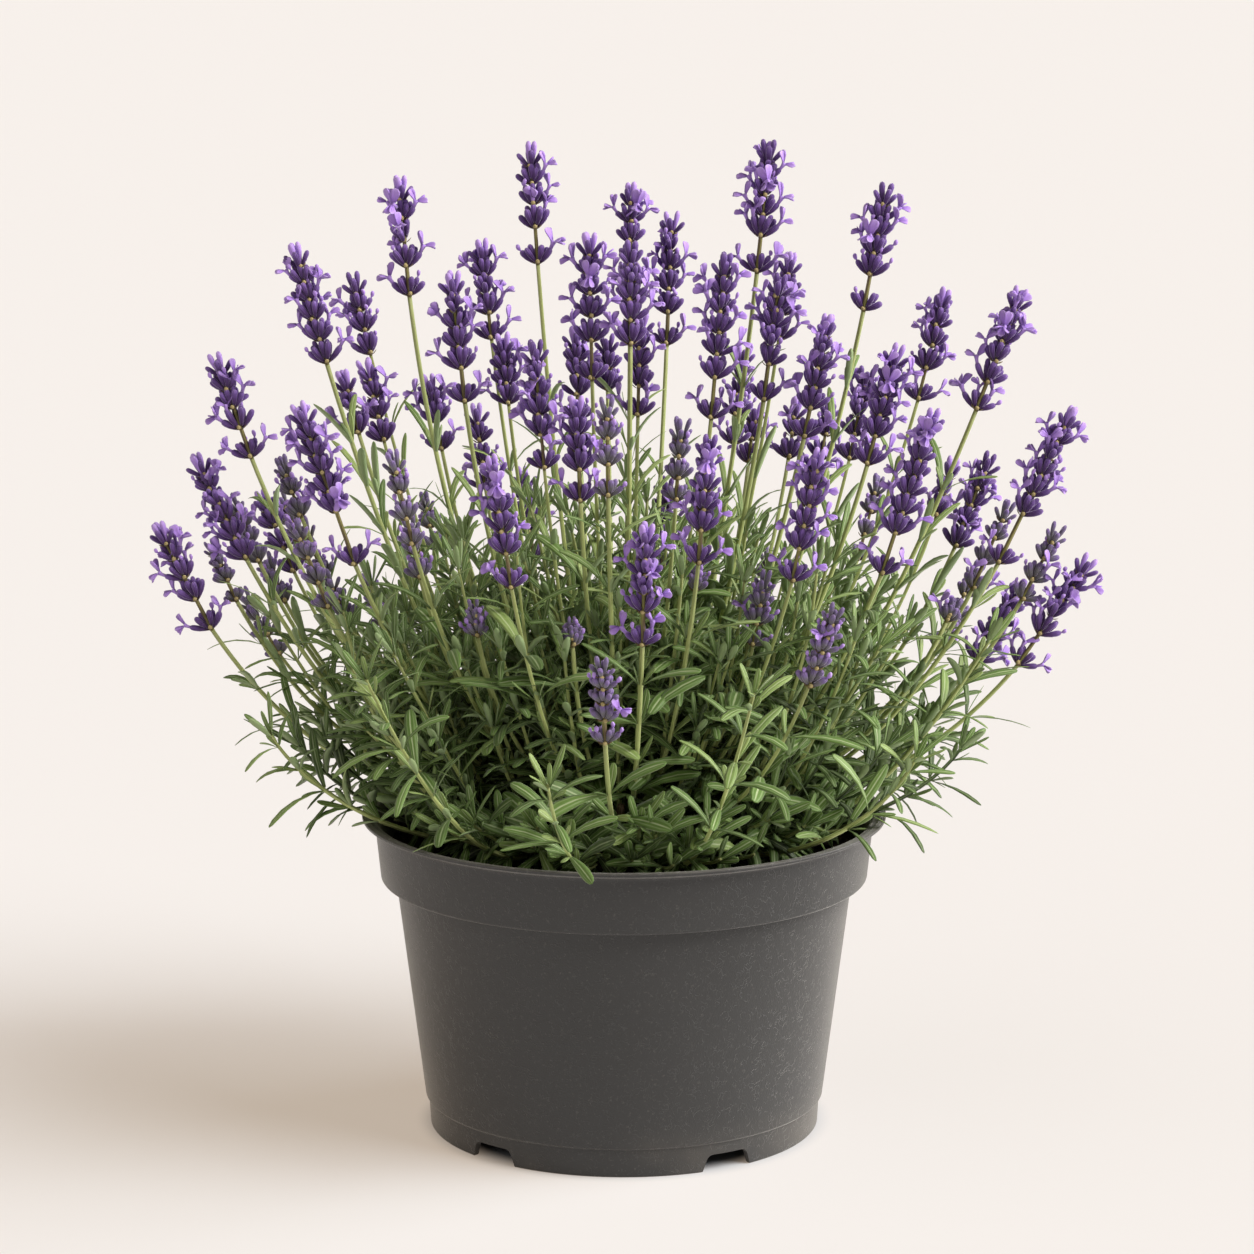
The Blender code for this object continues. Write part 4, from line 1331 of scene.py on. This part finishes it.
def paint_floor():
    """Seamless studio paper: warm white, fully matt and lit a little from behind by its own glow,
    which fades to a painted contact shadow under and round the pot's foot."""
    material, add = new_material(
        "studio_paper", 1.0, Specular_IOR_Level=0.0, Base_Color=linear("A7AFB9"),
        Emission_Color=linear("FFE8D0"))
    reach = add("VectorMath", add("TexCoord", out="Object"), operation="LENGTH")
    # The glow fades out under and round the pot's foot: a painted contact shadow.
    glow_and_painted_contact_shadow = add("MapRange", reach, FOOT_RADIUS - 12 * MM, FOOT_RADIUS + 8 * MM, 0.0, 0.45)
    return drive(material, Emission_Strength=glow_and_painted_contact_shadow)


def backdrop(reach):
    """A glowing wall round the paper, (r cos a, r sin a, h), that only the camera sees, so that
    a low view has the paper's colour behind the plant."""
    material, _ = new_material(
        "backdrop_glow", 1.0, Specular_IOR_Level=0.0, Base_Color=linear("000000"),
        Emission_Color=linear("F8F1EB"), Emission_Strength=1.0)
    points = revolve(np.array([(reach, -1.0), (reach, 60.0)]), WALL_SIDES).reshape(-1, 3)
    low = np.arange(WALL_SIDES)
    after = (low + 1) % WALL_SIDES
    faces = np.stack([low, low + WALL_SIDES, after + WALL_SIDES, after], axis=1)
    mesh = bpy.data.meshes.new("backdrop")
    mesh.from_pydata(points.tolist(), [], faces.tolist())
    mesh.materials.append(material)
    wall = link("backdrop", mesh)
    wall.visible_diffuse = wall.visible_glossy = wall.visible_transmission = False
    wall.visible_volume_scatter = wall.visible_shadow = False
    return wall


def soft_light(name, source, width, strength, colour):
    """An even light from far off in the direction of source; width is how many degrees of the
    sky it fills, and so how soft its shadows are."""
    light = bpy.data.lights.new(name, "SUN")
    light.energy, light.angle = strength, math.radians(width)
    light.color = linear(colour)[:3]
    link(name, light).rotation_euler = (
        math.acos(source[2] / np.linalg.norm(source)), 0.0,
        math.atan2(source[1], source[0]) + math.pi / 2)


class LAVENDER_OT_stage(bpy.types.Operator):
    """Sets the floor, the soft light and the camera"""

    bl_idname = "lavender.stage"
    bl_label = "Studio"

    def execute(self, context):
        mesh = bpy.data.meshes.new("studio_floor")
        corners = ((-1, -1, 0), (1, -1, 0), (1, 1, 0), (-1, 1, 0))
        mesh.from_pydata([np.array(corner) * FLOOR_REACH for corner in corners], [], [(0, 1, 2, 3)])
        mesh.materials.append(paint_floor())
        link("studio_floor", mesh)
        backdrop(FLOOR_REACH - 2.0)
        soft_light("key_light", (1.75, -0.68, 1.75), 38, 3.6, "FFFBF5")
        soft_light("fill_light", (-1.8, -0.9, 1.3), 80, 0.7, "FFF8F0")
        soft_light("edge_light", (1.8, 0.3, 0.45), 46, 3.0, "FFFFFF")
        world = bpy.data.worlds.new("studio")
        world.use_nodes = True
        colour, strength = world.node_tree.nodes["Background"].inputs[:2]
        colour.default_value, strength.default_value = linear("FFEBD2"), 0.11
        context.scene.world = world
        context.scene.view_settings.view_transform = "Standard"
        camera = bpy.data.cameras.new("camera")
        camera.lens, camera.sensor_width = 113.9, 36.0
        obj = link("camera", camera)
        obj.location = (0.0013, -1.7, 0.541)
        obj.rotation_euler = (math.radians(90 - 10.63), 0.0, 0.0)
        context.scene.camera = obj
        return {"FINISHED"}


class LAVENDER_PT_panel(bpy.types.Panel):
    """Lists the steps that build the plant"""

    bl_label = "Potted lavender"
    bl_idname = "LAVENDER_PT_panel"
    bl_space_type = "VIEW_3D"
    bl_region_type = "UI"
    bl_category = "Lavender"

    def draw(self, context):
        layout = self.layout
        for group in (context.scene.lavender_sizes, context.scene.lavender_colours):
            for name in type(group).__annotations__:
                layout.prop(group, name)
        for operator in OPERATORS:
            layout.operator(operator.bl_idname)


OPERATORS = (
    LAVENDER_OT_pot, LAVENDER_OT_soil, LAVENDER_OT_crown, LAVENDER_OT_stalks,
    LAVENDER_OT_more_stalks, LAVENDER_OT_shoots, LAVENDER_OT_foliage, LAVENDER_OT_stage,
)
CLASSES = (LavenderSizes, LavenderColours, *OPERATORS, LAVENDER_PT_panel)


def register():
    for cls in CLASSES:
        bpy.utils.register_class(cls)
    bpy.types.Scene.lavender_sizes = PointerProperty(type=LavenderSizes)
    bpy.types.Scene.lavender_colours = PointerProperty(type=LavenderColours)


def unregister():
    del bpy.types.Scene.lavender_colours
    del bpy.types.Scene.lavender_sizes
    for cls in reversed(CLASSES):
        bpy.utils.unregister_class(cls)


def main():
    register()
    bpy.ops.lavender.pot()
    bpy.ops.lavender.soil()
    bpy.ops.lavender.crown()
    bpy.ops.lavender.stalks()
    bpy.ops.lavender.more_stalks()
    bpy.ops.lavender.shoots()
    bpy.ops.lavender.foliage()
    bpy.ops.lavender.stage()
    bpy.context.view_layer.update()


if __name__ == "__main__":
    main()
